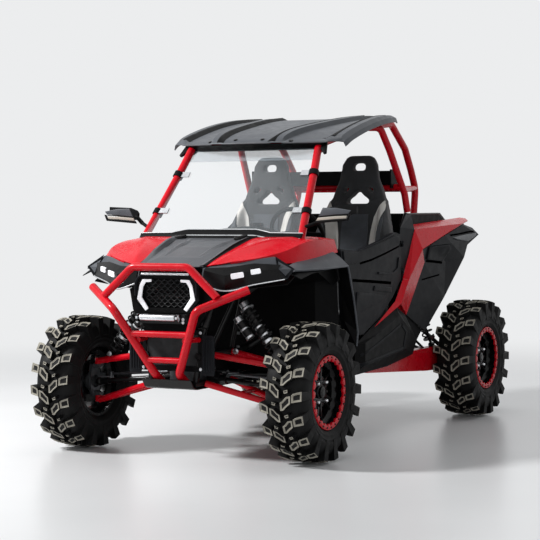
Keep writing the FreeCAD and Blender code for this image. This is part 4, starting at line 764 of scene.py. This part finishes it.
def lamp_glass():
    """Smoked covers over the sunk front of both lamps, and the bright lip under them."""
    rows = [
        [(206, -234, 1016), (333, -207, 1021), (448, -143, 1040), (572, -77, 1032)],
        [(204, -242, 1004), (330, -250, 979), (450, -180, 1001), (560, -94, 1010)],
        [(204, -265, 936), (330, -241, 903), (450, -155, 934), (594, -65, 963)]]
    cover = sheet("lamp_cover", rows, 0.002, levels=0)
    fit_pair("lamp_covers", [cover], lamp_smoke, 20)
    rows = [[(532, -67, 1076), (644, -63, 1011)], [(560, -95, 1010), (602, -66, 957)]]
    corner = sheet("lamp_corner", rows, 0.002, levels=0)
    fit_pair("lamp_corners", [corner], panel_plastic, 20)
    lip = rod("lamp_lip", [spot(*p) for p in ((204, -269, 931), (330, -245, 899), (450, -160, 929), (590, -72, 956))],
              0.0042, True)
    fit_pair("lamp_lips", [lip], silver, 60)


# Three places on the sunk front of the lamp, from which its plane is found.
LAMP_LOW = spot(330, -236, 900)
LAMP_IN = spot(330, -246, 978)
LAMP_OUT = spot(450, -176, 1000)


def lamp_form(name, along, up, wide, high):
    """One lamp lens: a cut-cornered block whose face is sunk behind a rim and split by two bars."""
    way = (LAMP_OUT - LAMP_IN).normalized()
    out = way.cross(LAMP_IN - LAMP_LOW).normalized()
    rise = out.cross(way)
    middle = LAMP_IN + way * along / 1000 + rise * up / 1000 - out * 0.003
    cut = high * 0.3
    marks = [(-wide, -high + cut), (-wide + cut, -high), (wide - cut, -high), (wide, -high + cut),
             (wide, high - cut), (wide - cut, high), (-wide + cut, high), (-wide, high - cut)]
    made = outline(name, [middle + way * u / 1000 + rise * v / 1000 for u, v in marks])
    start_edit(made)
    extruded(out * 0.012, 0.0035, -out * 0.003)
    apply(made, "BEVEL", width=0.001, segments=2, limit_method="ANGLE")
    bars = [made]
    for share in (-0.34, 0.34):
        foot = middle + way * wide * share / 1000 + out * 0.009
        tall = rise * (high - 3) / 1000
        thin = way * 0.0006
        corners = [foot - tall - thin, foot + tall - thin, foot + tall + thin, foot - tall + thin]
        bars.append(plate("lens_bar", corners, out * 0.0012, 0))
    return joined(name, bars)


def lamps():
    """Two white lenses and the hooked light strip below them, on each side."""
    parts = [lamp_form("lamp_inner", 64, -9, 34, 14), lamp_form("lamp_outer", 162, -4, 26, 13)]
    marks = [(90, 956), (144, 955), (161, 925), (178, 850), (126, 789), (108, 801), (151, 860), (143, 914), (125, 941),
             (91, 942)]
    strip = plate("light_strip", facing(-284, marks), (0, -0.010, 0), 0.0025, 3)
    made = fit_pair("lamp_lenses", parts + [strip], lens_white)
    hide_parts("headlamps")


def grille_details():
    """A dark rounded edge round the top of the surround with a silver lip on it, a painted highlight on its glossy
    plastic, and wavy ribs in front of the mesh.
    """
    edge = [(-186, 868), (-186, 936), (-172, 962), (-146, 981), (146, 981), (172, 962), (186, 936), (186, 868)]
    finish(rod("surround_edge", facing(-292, edge), 0.007), panel_plastic, 60)
    # Silver lip: a painted highlight on the surround's glossy top edge.
    finish(rod("surround_lip_highlight", [spot(x, -297, z + 3) for x, z in edge[3:5]], 0.0062), silver, 60)
    middle, pitch, step, wave, thick = 882, 16.5, 19, 6.6, 4.4
    rows = []
    for row in range(-4, 5):
        z = middle + row * pitch
        count = int(min(142, 112 + (70 - abs(z - middle)) * 0.8) // step)
        top = [(k * step, z + (wave if (k + row) % 2 else -wave) + thick / 2) for k in range(-count, count + 1)]
        low = [(x, high - thick) for x, high in reversed(top)]
        rows.append(plate("mesh_rib", [spot(x, -262, high) for x, high in top + low], (0, -0.009, 0), 0.0014, 1))
    fit("mesh_ribs", rows, mesh_steel)


def bumper_fittings():
    """Bright roller in its fairlead, and the bolts of the bumper's brackets."""
    sleeve = turned("roller", [(-0.106, 0.004), (-0.106, 0.0155), (-0.100, 0.017), (0.100, 0.017), (0.106, 0.0155),
                               (0.106, 0.004)], 28, spot(0, -374, 760), X_AXIS)
    ends = [turned("roller_end", [(-0.006, 0), (-0.006, 0.019), (0.006, 0.019), (0.008, 0.015), (0.008, 0)], 24,
                   spot(hand * 120, -374, 760), (hand, 0, 0)) for hand in (1, -1)]
    fit("fairlead_roller", [sleeve] + ends, silver, 40)
    places = ((140, -352, 752), (140, -352, 736), (176, -236, 676), (176, -236, 484))
    heads = [bolt("bolt", spot(hand * x, y, z), (0, -1, 0), 0.0065, 0.006) for hand in (1, -1) for x, y, z in places]
    fit("bracket_bolts", heads, silver)


def bonnet_seams():
    """Black gutters between the bonnet and the red panels, with a rubber bead, and the bonnet's two straps."""
    line = [(200, -232, 1022), (210, -140, 1051), (224, -50, 1083), (229, 25, 1106), (240, 100, 1130), (245, 178, 1150),
            (253, 258, 1160)]
    rows = [[(x - 24, y, z - 11), (x, y, z - 7), (x + 24, y, z - 9)] for x, y, z in line]
    gutter = sheet("bonnet_gutter", rows, 0.004, levels=1)
    bead = rod("bonnet_bead", [spot(x + 2, y, z + 3) for x, y, z in line], 0.0092, True)
    high = (4, 10, 17, 20, 19, 15, 9)
    rows = [[(x - 3, y, z + 6 + h), (x + 6, y, z - 2)] for (x, y, z), h in zip(line, high)]
    wall = sheet("bonnet_wall", rows, 0.003, levels=0)
    fit_pair("bonnet_gutters", [gutter, bead, wall], black_plastic, 60)
    # Rim and creases in the lighter gunmetal: a painted highlight along the bonnet's raised edges.
    rows = [[(x - 30, y, z + 5), (x - 14, y, z + 5 + h), (x - 3, y, z + 7 + h)] for (x, y, z), h in zip(line, high)]
    rim = sheet("bonnet_rim", rows, 0.003, (1,), 1)
    fit_pair("bonnet_rims", [rim], lit_gunmetal_plastic)
    strap = []
    for side in (-212, 176):
        marks = [(-16, 262), (16, 262), (13, 226), (-2, 196), (-22, 182), (-36, 190), (-26, 214)]
        points = [spot(side + u, y, 1145 + (y - 180) * 0.14) for u, y in marks]
        strap.append(plate("bonnet_strap", points, (0, 0, 0.026), 0.005))
    fit("bonnet_straps", strap, black_coat, 40)
    crease = [[(92, -236, 1026), (104, -236, 1027), (116, -236, 1025)],
              [(96, -60, 1095), (112, -60, 1102), (130, -60, 1095)],
              [(102, 90, 1133), (124, 90, 1141), (150, 90, 1133)],
              [(112, 214, 1155), (136, 214, 1160), (166, 214, 1155)]]
    ribs = [sheet("bonnet_crease", [[(hand * x, y, z) for x, y, z in row] for row in crease], 0.003, (1,))
            for hand in (1, -1)]
    fit("bonnet_creases", ribs, lit_gunmetal_plastic)


def arch_tops():
    """Tops of the front arches in the lighter grey, a painted highlight on the black arch, from the red panels out to a
    rolled lip that turns down behind the wheel.
    """
    rows = [[(592, -60, 1018), (616, -62, 1016), (640, -64, 1004)],
            [(598, 20, 1040), (630, 22, 1030), (666, 30, 1004)],
            [(600, 110, 1048), (640, 112, 1036), (682, 120, 1005)],
            [(604, 240, 1060), (648, 240, 1044), (688, 240, 1006)],
            [(605, 380, 1074), (650, 380, 1052), (689, 380, 1009)],
            [(606, 470, 1084), (652, 470, 1056), (689, 486, 1012)]]
    top = sheet("arch_top", rows, 0.004, (2,), 2)
    lip = [(638, -64, 1001), (666, 30, 1001), (682, 120, 1002), (688, 240, 1003), (689, 380, 1006), (689, 488, 1008),
           (689, 558, 833), (687, 616, 640), (688, 598, 562)]
    bead = rod("arch_bead", [spot(*p) for p in lip], 0.0055)
    fit_pair("arch_tops", [top, bead], lit_grey_plastic, 40)
    marks = [(260, 990), (470, 900), (548, 930), (520, 1000), (500, 1062), (300, 1052)]
    wall = plate("arch_wall", beside(605, marks), (0.003, 0, 0), 0)
    fit_pair("arch_walls", [wall], black_plastic)


def duct_panels():
    """Ribbed dark panels beside the radiator."""
    marks = [(190, 452), (258, 452), (262, 470), (262, 652), (252, 664), (196, 664), (186, 652), (186, 470)]
    ribs = [plate("duct_base", facing(-234, marks), (0, -0.007, 0), 0.002)]
    for x in (200, 216, 232, 248):
        marks = [(x - 3, 476), (x + 3, 476), (x + 3, 640), (x - 3, 640)]
        ribs.append(plate("duct_rib", facing(-240, marks), (0, -0.006, 0)))
    fit_pair("duct_panels", ribs, panel_plastic)


def collar(start, way, high, radius, bore=0.012, lip=0.002):
    """A collar round a damper's body, with its rims taken off by a lip."""
    profile = [(0, bore), (0, radius - lip), (0.002, radius),
               (high - 0.002, radius), (high, radius - lip), (high, bore)]
    return turned("collar", profile, 28, start, way)


def suspension_details():
    """Bright collars on the front dampers, threaded ends of the stabiliser links and their bolts."""
    foot, head = spot(528, 0, 526), spot(306, 0, 822)
    way = (head - foot).normalized()
    sizes = ((0.30, 0.022, 0.0255), (0.42, 0.020, 0.0250), (0.55, 0.016, 0.0250), (0.885, 0.012, 0.039),
             (0.93, 0.030, 0.0265))
    parts = [collar(foot + (head - foot) * start, way, high, radius) for start, high, radius in sizes]
    reservoir = spot(372, -44, 640)
    for start, high in ((0.0, 0.014), (0.40, 0.010), (0.78, 0.030)):
        parts.append(collar(reservoir + way * 0.133 * start, way, high, 0.0248, 0.010, 0.0013))
    for z, high in ((704, 0.030), (655, 0.014), (586, 0.010)):
        radius = 0.0095
        profile = [(0, 0), (0, radius), (high * 0.3, radius), (high * 0.35, radius * 0.8), (high * 0.5, radius * 0.8),
                   (high * 0.55, radius), (high, radius), (high, 0)]
        parts.append(turned("link_nut", profile, 6, spot(272 + (z - 640) * 0.04, 0, z), (0.039, 0, 1)))
    parts.append(bolt("link_bolt", spot(270, -26, 567), (0, -1, 0), 0.0125, 0.014))
    parts.append(bolt("arm_bolt", spot(528, -28, 526), (0, -1, 0), 0.011, 0.012))
    fit_pair("suspension_bright_parts", parts, silver)


fender_shells()
bonnet_seams()
arch_tops()
duct_panels()
suspension_details()
lamp_glass()
lamps()
grille_details()
bumper_fittings()


# Windscreen, roof and mirrors

# The clear sheet starts at FOOT, leans back along LEAN, and OUT points away from its outer face.
LEAN = Vector((0, 0.6481, 0.7616))
OUT = Vector((0, -0.7616, 0.6481))
FOOT = spot(0, 306, 1158) + OUT * 0.023


def on_glass(across, along, off=0.0):
    """A point on the windscreen: sideways, up along the sheet, and out from its inner face."""
    return FOOT + Vector((across / 1000, 0, 0)) + LEAN * along / 1000 + OUT * off / 1000


def screen_seal():
    """Black seal along the foot of the screen, with pale lines along it and up the clear sheet's cut sides: painted
    highlights.
    """
    top = [(512, 12), (312, 15), (290, 22), (232, 36), (214, 39), (-214, 39), (-232, 36), (-290, 22), (-312, 15),
           (-512, 12)]
    low = [(-512, -27), (-318, -25), (-236, -8), (-216, -5), (216, -5), (236, -8), (318, -25), (512, -27)]
    finish(plate("screen_seal", [on_glass(x, a, -8) for x, a in low + top], OUT * 0.021, 0.003), black_plastic)
    # Pale lines along the seal's top and foot: painted highlights.
    upper = rod("seal_line_upper", [on_glass(x, a + 2, 8) for x, a in top], 0.0048)
    low = [(-508, -25), (-318, -23), (-236, -6), (-216, -3), (216, -3), (236, -6), (318, -23), (508, -25)]
    lower = rod("seal_line_lower", [on_glass(x, a, 11) for x, a in low], 0.003)
    fit("seal_highlight_lines", [upper, lower], edge_highlight, 60)
    side = rod("sheet_side", [on_glass(500, 40, 2.5), on_glass(438, 552, 2.5)], 0.0026)
    fit_pair("sheet_side_highlights", [side], edge_highlight, 60)


def header():
    """Black header over the top of the screen, with an ear down each pillar."""
    half = [(452, 700), (466, 640), (478, 590), (462, 584), (440, 612), (404, 636), (330, 645), (200, 648)]
    marks = half + [(-x, a) for x, a in reversed(half)]
    finish(plate("screen_header", [on_glass(x, a, 7) for x, a in marks], OUT * 0.016, 0.004), black_plastic)
    finish(rod("header_lip", [on_glass(x, a + 1, 22) for x, a in marks[4:12]], 0.003), panel_plastic, 60)


def tint_band():
    """Tinted film across the top of the screen."""
    marks = [(-424, 550), (424, 550), (404, 644), (-404, 644)]
    finish(plate("tint_band", [on_glass(x, a, 5.3) for x, a in marks], OUT * 0.0006, 0), tinted_film)


def roof_row(middle, edge, low, rail, ridge, reach, raised):
    """Half a row across the roof: centre panel, ridge, groove, side field, edge rail and skirt."""
    marks = [(0, low), (ridge - 30, low), (ridge - 4, low + raised), (ridge + 50, low + raised),
             (ridge + 64, low - raised * 0.5), (reach - 118, rail - raised), (reach - 88, rail), (reach - 34, rail),
             (reach - 10, rail - raised), (reach, rail - raised - 26)]
    return [(x, middle + (edge - middle) * (x / reach) ** 2.4, z - 4) for x, z in marks]


def roof_shell():
    """The moulded roof in the lighter grey, a painted highlight: two creased ridges and a rail on each side, black
    strips on the inner walls as painted shade, and a front lip in the lighter gunmetal, also a painted highlight.
    """
    half = [roof_row(582, 742, 1700, 1703, 172, 559, 3), roof_row(606, 752, 1716, 1719, 175, 561, 12),
            roof_row(650, 770, 1731, 1732, 181, 563, 17), roof_row(760, 800, 1762, 1752, 192, 565, 19),
            roof_row(1040, 1052, 1808, 1822, 222, 561, 18), roof_row(1340, 1340, 1852, 1872, 256, 545, 17),
            roof_row(1600, 1560, 1876, 1884, 286, 511, 12), roof_row(1688, 1590, 1870, 1872, 292, 499, 8)]
    rows = [[(-x, y, z) for x, y, z in row[:0:-1]] + row for row in half]
    shell = sheet("roof_shell", rows, 0.007, range(19), 2)
    finish(shell, lit_grey_plastic, 25)
    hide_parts("roof")
    # Black strips over the ridges' inner walls: painted shade.
    walls = []
    for first, last, start in ((1, 2, 0), (5, 6, 2)):
        strip = []
        for k, row in enumerate(half[start:-1]):
            (x, y, z), (u, v, w) = row[first], row[last]
            over = 20 - 3 * k
            strip.append([(x, y, z + 4.2), (u, v, w + 4.2), (u + over, v, w + 4.2)])
        walls.append(sheet("roof_wall", strip, 0.002, range(3), 2))
    fit_pair("roof_wall_painted_shade", walls, black_plastic)
    finish(rod("roof_lip", [spot(x, y - 2, z - 2) for x, y, z in rows[0][3:-3]], 0.0045), lit_gunmetal_plastic, 60)
    visor = [[(x, 588 + 162 * (abs(x) / 560) ** 2.4, 1688) for x in range(-450, 451, 150)],
             [(x, 704, 1662) for x in range(-450, 451, 150)]]
    finish(sheet("roof_visor", visor, 0.004, (), 1), black_plastic, 40)


def roof_bolts():
    """Black bolts with washers along the roof's front edge."""
    heads = []
    for x, y in ((-250, 624), (-76, 612), (98, 612), (272, 626)):
        place, face = bpy.data.objects["roof_shell"].ray_cast(spot(x, y, 2300), Vector((0, 0, -1)))[1:3]
        heads.append(bolt("roof_bolt", place - face * 0.001, face, 0.0105, 0.006, 16))
    fit("roof_bolts", heads, black_coat, 40)


def mirror_faces():
    """Lighter grey upper face, a painted highlight, and pale lower band of the mirror heads, each a thin moulded plate.
    """
    marks = [(592, 1281), (616, 1328), (700, 1326), (784, 1312), (768, 1294), (690, 1290)]
    upper = plate("mirror_upper", facing(330, marks), (0, -0.006, 0), 0.003, 3)
    marks = [(588, 1274), (690, 1282), (762, 1284), (758, 1268), (690, 1265), (576, 1256)]
    lower = plate("mirror_lower", facing(330, marks), (0, -0.008, 0), 0.003, 3)
    marks = [(574, 1257), (690, 1266), (760, 1269), (772, 1292), (784, 1294), (768, 1258), (690, 1252), (566, 1242)]
    frame_low = plate("mirror_frame", facing(331, marks), (0, -0.012, 0), 0.003, 3)
    marks = [(586, 1276), (690, 1284), (766, 1287), (768, 1292), (690, 1289), (590, 1282)]
    slit = plate("mirror_slit", facing(330, marks), (0, -0.003, 0), 0.001, 1)
    fit_pair("mirror_upper_faces", [upper], lit_grey_plastic)
    fit_pair("mirror_lower_bands", [lower], band_plastic)
    fit_pair("mirror_slits", [slit, frame_low], black_plastic)


screen_seal()
header()
tint_band()
roof_shell()
roof_bolts()
mirror_faces()


# Rear: tailgate, bed, tail lamps and silencer

def tailgate():
    """Tailgate with a sunk field, upright ribs and a handle, and a rolled rim round the bed."""
    marks = [(-366, 972), (366, 972), (374, 984), (374, 1206), (362, 1218), (-362, 1218), (-374, 1206), (-374, 984)]
    face = plate("tailgate_face", facing(2399, marks), (0, 0.007, 0), 0)
    edit_where(face, "polygons", lambda side: side.normal.y > 0.9)
    bpy.ops.mesh.inset(thickness=0.020)
    bpy.ops.transform.translate(value=(0, -0.005, 0))
    end_edit()
    apply(face, "BEVEL", width=0.002, segments=2, limit_method="ANGLE")
    parts = [face]
    for x in (-280, -168, -56, 56, 168, 280):
        marks = [(x - 11, 1006), (x + 11, 1006), (x + 8, 1150), (x - 8, 1150)]
        parts.append(plate("gate_rib", facing(2400, marks), (0, 0.006, 0), 0.002))
    for x in (300, -300):
        marks = [(x - 26, 952), (x + 26, 952), (x + 20, 984), (x - 20, 984)]
        parts.append(plate("gate_hinge", facing(2398, marks), (0, 0.012, 0), 0.003))
    fit("tailgate_panel", parts, panel_plastic)
    grip = rod("gate_grip", [spot(x, y, 1186) for x, y in ((-74, 2403), (-62, 2420), (62, 2420), (74, 2403))], 0.0085)
    side = ((1704, 1283), (2238, 1283), (2362, 1236), (2397, 1236))
    rims = [rod("bed_rim", beside(x, side), 0.0068) for x in (496, -496)]
    rims.append(rod("gate_rim", [spot(-494, 2397, 1236), spot(494, 2397, 1236)], 0.0068))
    fit("bed_rims", rims + [grip], black_coat, 60)
    floor = []
    for x in range(-420, 421, 120):
        corners = [spot(x - 22, 1730, 973), spot(x + 22, 1730, 973), spot(x + 22, 2376, 973), spot(x - 22, 2376, 973)]
        floor.append(plate("floor_rib", corners, (0, 0, 0.005), 0.002))
    fit("bed_floor_ribs", floor, black_plastic)


def tail_details():
    """Bezels round the tail lamps, bright outlet ring and strap bands on the silencer."""
    marks = [(380, 1104), (492, 1104), (492, 1170), (473, 1190), (399, 1190), (380, 1170)]
    bezel = [rod("lamp_bezel", facing(2401, marks + marks[:1]), 0.005)]
    for z in (1128, 1148):
        bezel.append(rod("lamp_bar", [spot(390, 2415, z), spot(483, 2415, z)], 0.0016))
    fit_pair("tail_bezels", bezel, black_coat, 40)
    ring = turned("outlet_ring", [(0, 0.0228), (0, 0.028), (0.022, 0.029), (0.026, 0.0265), (0.024, 0.0228)], 40,
                  spot(150, 2448, 846), (0, 1, -0.16))
    bands = [turned("can_band", [(-0.012, 0.0615), (-0.012, 0.0640), (0.012, 0.0640), (0.012, 0.0615)], 64,
                    spot(x, 2322, 850), X_AXIS) for x in (-150, 150)]
    fit("silencer_trim", [ring] + bands, silver, 40)


tailgate()
tail_details()


# Cabin: gauge, vents and switches of the dashboard, and the cowl over it

def block_face(name, middle, half, high, deep, round_edge):
    """A small block that faces the seats: half its width and height, and its depth."""
    corners = [middle + Vector((u * half, 0, w * high)) for u, w in ((-1, -1), (1, -1), (1, 1), (-1, 1))]
    return plate(name, corners, (0, deep, 0), round_edge)


def on_dash(x, z):
    """A point of the dashboard's rear face, as the seats see it: sideways and height."""
    return nodes["dashboard"].ray_cast(spot(x, 900, z), Vector((0, -1, 0)))[1]


def dashboard_details():
    """Gauge behind the wheel, round vents and a row of rocker switches, set on the dashboard's rear face."""
    ring, dark = [], []
    for x, z, radius in ((304, 1128, 52), (60, 1120, 34), (-60, 1120, 34), (-440, 1120, 34)):
        place = on_dash(x, z)
        r = radius / 1000
        profile = [(-0.004, r), (0.010, r), (0.014, r - 0.004), (0.014, r - 0.008), (-0.004, r - 0.010)]
        ring.append(turned("bezel", profile, 48, place, (0, 1, 0)))
        profile = [(-0.004, 0), (-0.004, r - 0.009), (0.006, r - 0.009), (0.006, 0)]
        dark.append(turned("face", profile, 32, place, (0, 1, 0)))
        for k in range(-2, 3):
            half = math.sqrt(max(0.0, (r - 0.012) ** 2 - (k * r / 3.2) ** 2))
            if radius < 50 and half > 0.004:
                middle = place + Vector((0, 0.007, k * r / 3.2))
                dark.append(block_face("slat", middle, half, 0.0016, 0.004, 0))
    rows = [[(400, 1168), (396, 1186), (392, 1198), (392, 1204), (396, 1196), (400, 1168)],
            [(450, 1180), (446, 1205), (442, 1220), (440, 1228), (446, 1212), (450, 1176)],
            [(520, 1182), (520, 1208), (520, 1222), (520, 1230), (520, 1214), (520, 1176)],
            [(580, 1150), (584, 1160), (588, 1164), (590, 1166), (588, 1160), (580, 1146)]]
    columns = (-236, -150, 0, 110, 220, 318)
    cowl = sheet("dash_cowl", [[(x, y, z) for x, (y, z) in zip(columns, row)] for row in rows], 0.004)
    pod = turned("dash_pod", [(-0.02, 0.040), (0.010, 0.040), (0.018, 0.034), (0.020, 0.0), (-0.02, 0.0)], 40,
                 spot(126, 482, 1226), (0, 0, 1))
    fit("dash_top", [cowl, pod], black_plastic, 40)
    for x in (-36, -12, 12, 36):
        dark.append(block_face("switch", on_dash(x, 1052) + Vector((0, -0.002, 0)), 0.009, 0.015, 0.009, 0.003))
    fit("dash_bezels", ring, silver, 40)
    fit("dash_fittings", dark, panel_plastic)


dashboard_details()


# Doors, sills and rear fenders: raised panels, slots and seams

def band(line, wide):
    """The outline of a strip of this width along a line of points."""
    left, right = [], []
    for k, point in enumerate(line):
        before, after = line[max(k - 1, 0)], line[min(k + 1, len(line) - 1)]
        way = Vector((after[0] - before[0], after[1] - before[1])).normalized() * wide / 2
        left.append((point[0] - way.y, point[1] + way.x))
        right.append((point[0] + way.y, point[1] - way.x))
    return left + right[::-1]


# Panels are drawn this far from the vehicle's middle, in millimetres, and pressed inwards from there.
OUTSIDE = 800


def pressed(name, marks, node, thick):
    """A thin panel on the outer side of a node: outline as place behind the axle and height."""
    made = outline(name, beside(OUTSIDE, marks))
    start_edit(made)
    cut_up(4)
    apply(made, "SHRINKWRAP", target=nodes[node], wrap_method="PROJECT", use_project_x=True,
          use_positive_direction=False, use_negative_direction=True)
    trim_missed(made, 0, OUTSIDE / 1000)
    apply(made, "SOLIDIFY", thickness=thick * 2, offset=0)
    closed(made)
    apply(made, "BEVEL", width=min(0.002, thick * 0.6), segments=2, limit_method="ANGLE", angle_limit=math.radians(60))
    return made


def door_details():
    """Rail, lower panels and the pocket's frame stand proud of the door, with painted shade in the slot and a painted
    shadow under the rail.
    """
    rail = [(602, 1086), (640, 1082), (796, 1076), (1000, 1108), (1301, 1160), (1366, 1152), (1366, 1118), (1350, 1102),
            (1159, 1067), (960, 1034), (810, 1018), (606, 1010)]
    lower = [(990, 878), (1222, 858), (1226, 828), (1120, 838), (975, 850)]
    foot = [(752, 852), (960, 834), (1150, 814), (1100, 780), (916, 752), (792, 724), (744, 700)]
    pocket = band([(1040, 948), (1150, 940), (1254, 940), (1318, 964), (1342, 1030)], 13)
    # Strips in the black painted shade: the slot's darkness and the shadow under the rail.
    slot = band([(704, 920), (960, 903), (1222, 884)], 17)
    shadow = band([(810, 1012), (960, 1028), (1159, 1061), (1352, 1097)], 15)
    sets = (("door_relief", panel_plastic, ((rail, 0.007), (lower, 0.006), (foot, 0.006), (pocket, 0.007))),
            ("door_painted_shade", painted_shade, ((slot, 0.0012), (shadow, 0.0012))))
    pieces = [joined(name + "_left", [pressed(name, marks, "door_left", thick) for marks, thick in panels])
              for name, material, panels in sets]
    for piece, (name, material, panels) in zip(pieces, sets):
        other = copied(name + "_right", piece, MIRROR)
        finish(piece, material, 30, "door_front_left")
        finish(other, material, 30, "door_front_right")


def sill_details():
    """A raised frame round the sill's flat side."""
    ribs = [pressed("sill_rib", band(line, wide), "rockers", 0.004) for line, wide in (
        ([(800, 492), (1020, 548), (1180, 592), (1316, 634)], 14), ([(1334, 632), (1392, 588), (1366, 502)], 18),
        ([(1356, 488), (1166, 474), (980, 456), (800, 436)], 22))]
    fit_pair("sill_frame", ribs, panel_plastic)


def fender_details():
    """Stepped fin, pocket block and crease on the rear fenders: the fin in the lighter gunmetal as a painted highlight,
    and painted shade along the fin, under the block, in the crease and on a black backing behind their joints.
    """
    marks = [(2060, 1132), (2240, 1146), (2420, 1156), (2400, 1140), (2262, 1108), (2100, 1120)]
    fin = pressed("fender_fin", marks, "rear_fenders", 0.005)
    fit_pair("fender_fins", [fin], lit_gunmetal_plastic)
    marks = [(1700, 1008), (1820, 999), (1936, 990), (1990, 1070), (1960, 1092), (1730, 1084)]
    block = pressed("fender_block", marks, "rear_fenders", 0.010)
    fit_pair("fender_blocks", [block], panel_plastic)
    # Painted shade: dark lines along the fin, under the block's edge and in the crease.
    dark = [pressed("fender_slot", band(line, wide), "rear_fenders", 0.0012) for line, wide in (
        ([(2050, 1148), (2200, 1156), (2330, 1166), (2410, 1168)], 10), ([(1700, 999), (1820, 990), (1936, 981)], 15),
        ([(1640, 886), (1760, 898), (1880, 908)], 9))]
    marks = [(1880, 1130), (2430, 1236), (2460, 1190), (2300, 1080), (1900, 1040)]
    # The black backing fills the joint with painted shade.
    dark.append(plate("fender_backing", beside(592, marks), (-0.006, 0, 0)))
    fit_pair("fender_painted_shade", dark, painted_shade)
    marks = [(1340, 790), (1430, 800), (1520, 700), (1440, 660), (1360, 716)]
    foot = plate("trim_foot", beside(604, marks), (-0.006, 0, 0))
    fit_pair("trim_feet", [foot], red_plastic)


door_details()
sill_details()
fender_details()


# Floor, lights and surroundings

BACKDROP = "ecedee"


def seen_directly(tree):
    """1 for what the eye sees straight, mirrored or through the screen, and 0 for light on the object."""
    rays = add(tree, "LightPath").outputs
    straight = add(tree, "Math", {0: rays["Is Camera Ray"], 1: rays["Is Glossy Ray"]}, operation="MAXIMUM")
    return add(tree, "Math", {0: straight, 1: rays["Is Transmission Ray"]}, operation="MAXIMUM")


def studio_floor():
    """A pale floor that keeps the shadow and runs into the same pale backdrop with distance."""
    bpy.ops.mesh.primitive_plane_add(size=80, location=(0, 0, 0))
    floor = bpy.context.active_object
    floor.name = "floor"
    # Painted studio floor with a satin finish: wheels leave a soft reflection in it.
    made, tree, shader, place = new_material("studio_floor", Roughness=0.28)
    clouding(tree, shader, place, 900, 2.0, ("d9dadb", "dedfe0"), (0.3, 0.8))
    away = add(tree, "VectorMath", {"Vector": place}, operation="LENGTH").outputs["Value"]
    fade = add(tree, "MapRange", {"Value": away}, From_Min=2.6, From_Max=7.5, To_Min=0.0, To_Max=1.0,
               interpolation_type="SMOOTHSTEP")
    amount = add(tree, "Math", {0: fade, 1: seen_directly(tree)}, operation="MULTIPLY")
    pale = add(tree, "Emission", Color=colour(BACKDROP), Strength=1.0)
    pick = add(tree, "MixShader", {"Fac": amount, 1: shader, 2: pale})
    end = [node for node in tree.nodes if node.type == "OUTPUT_MATERIAL"][0]
    tree.links.new(pick.outputs["Shader"], end.inputs["Surface"])
    floor.data.materials.append(made)


def area_lamp(name, place, target, size, power):
    """A round lamp at a place, aimed at a target."""
    data = bpy.data.lights.new(name, "AREA")
    data.shape = "DISK"
    data.size = size
    data.energy = power
    lamp = bpy.data.objects.new(name, data)
    bpy.context.scene.collection.objects.link(lamp)
    lamp.location = place
    aim = Vector(target) - Vector(place)
    lamp.rotation_euler = aim.to_track_quat("-Z", "Y").to_euler()


def surroundings():
    """Pale surroundings: brighter where they are seen than where they only light the object."""
    world = bpy.data.worlds.new("surroundings")
    bpy.context.scene.world = world
    world.use_nodes = True
    tree = world.node_tree
    tree.nodes.clear()
    lit = add(tree, "Background", Color=colour("f2f4f6"), Strength=0.32)
    seen = add(tree, "Background", Color=colour(BACKDROP), Strength=1.0)
    pick = add(tree, "MixShader", {"Fac": seen_directly(tree), 1: lit, 2: seen})
    add(tree, "OutputWorld", {"Surface": pick})


studio_floor()
area_lamp("key", (-4.8, -4.2, 5.2), (0, 0, 0.6), 1.3, 720)
area_lamp("top", (0.5, 0.8, 6.5), (0, 0, 0), 4.0, 100)
area_lamp("fill", (4.5, -7.0, 3.0), (0, 0, 0.8), 3.0, 60)
surroundings()
bpy.context.scene.view_settings.view_transform = "Standard"
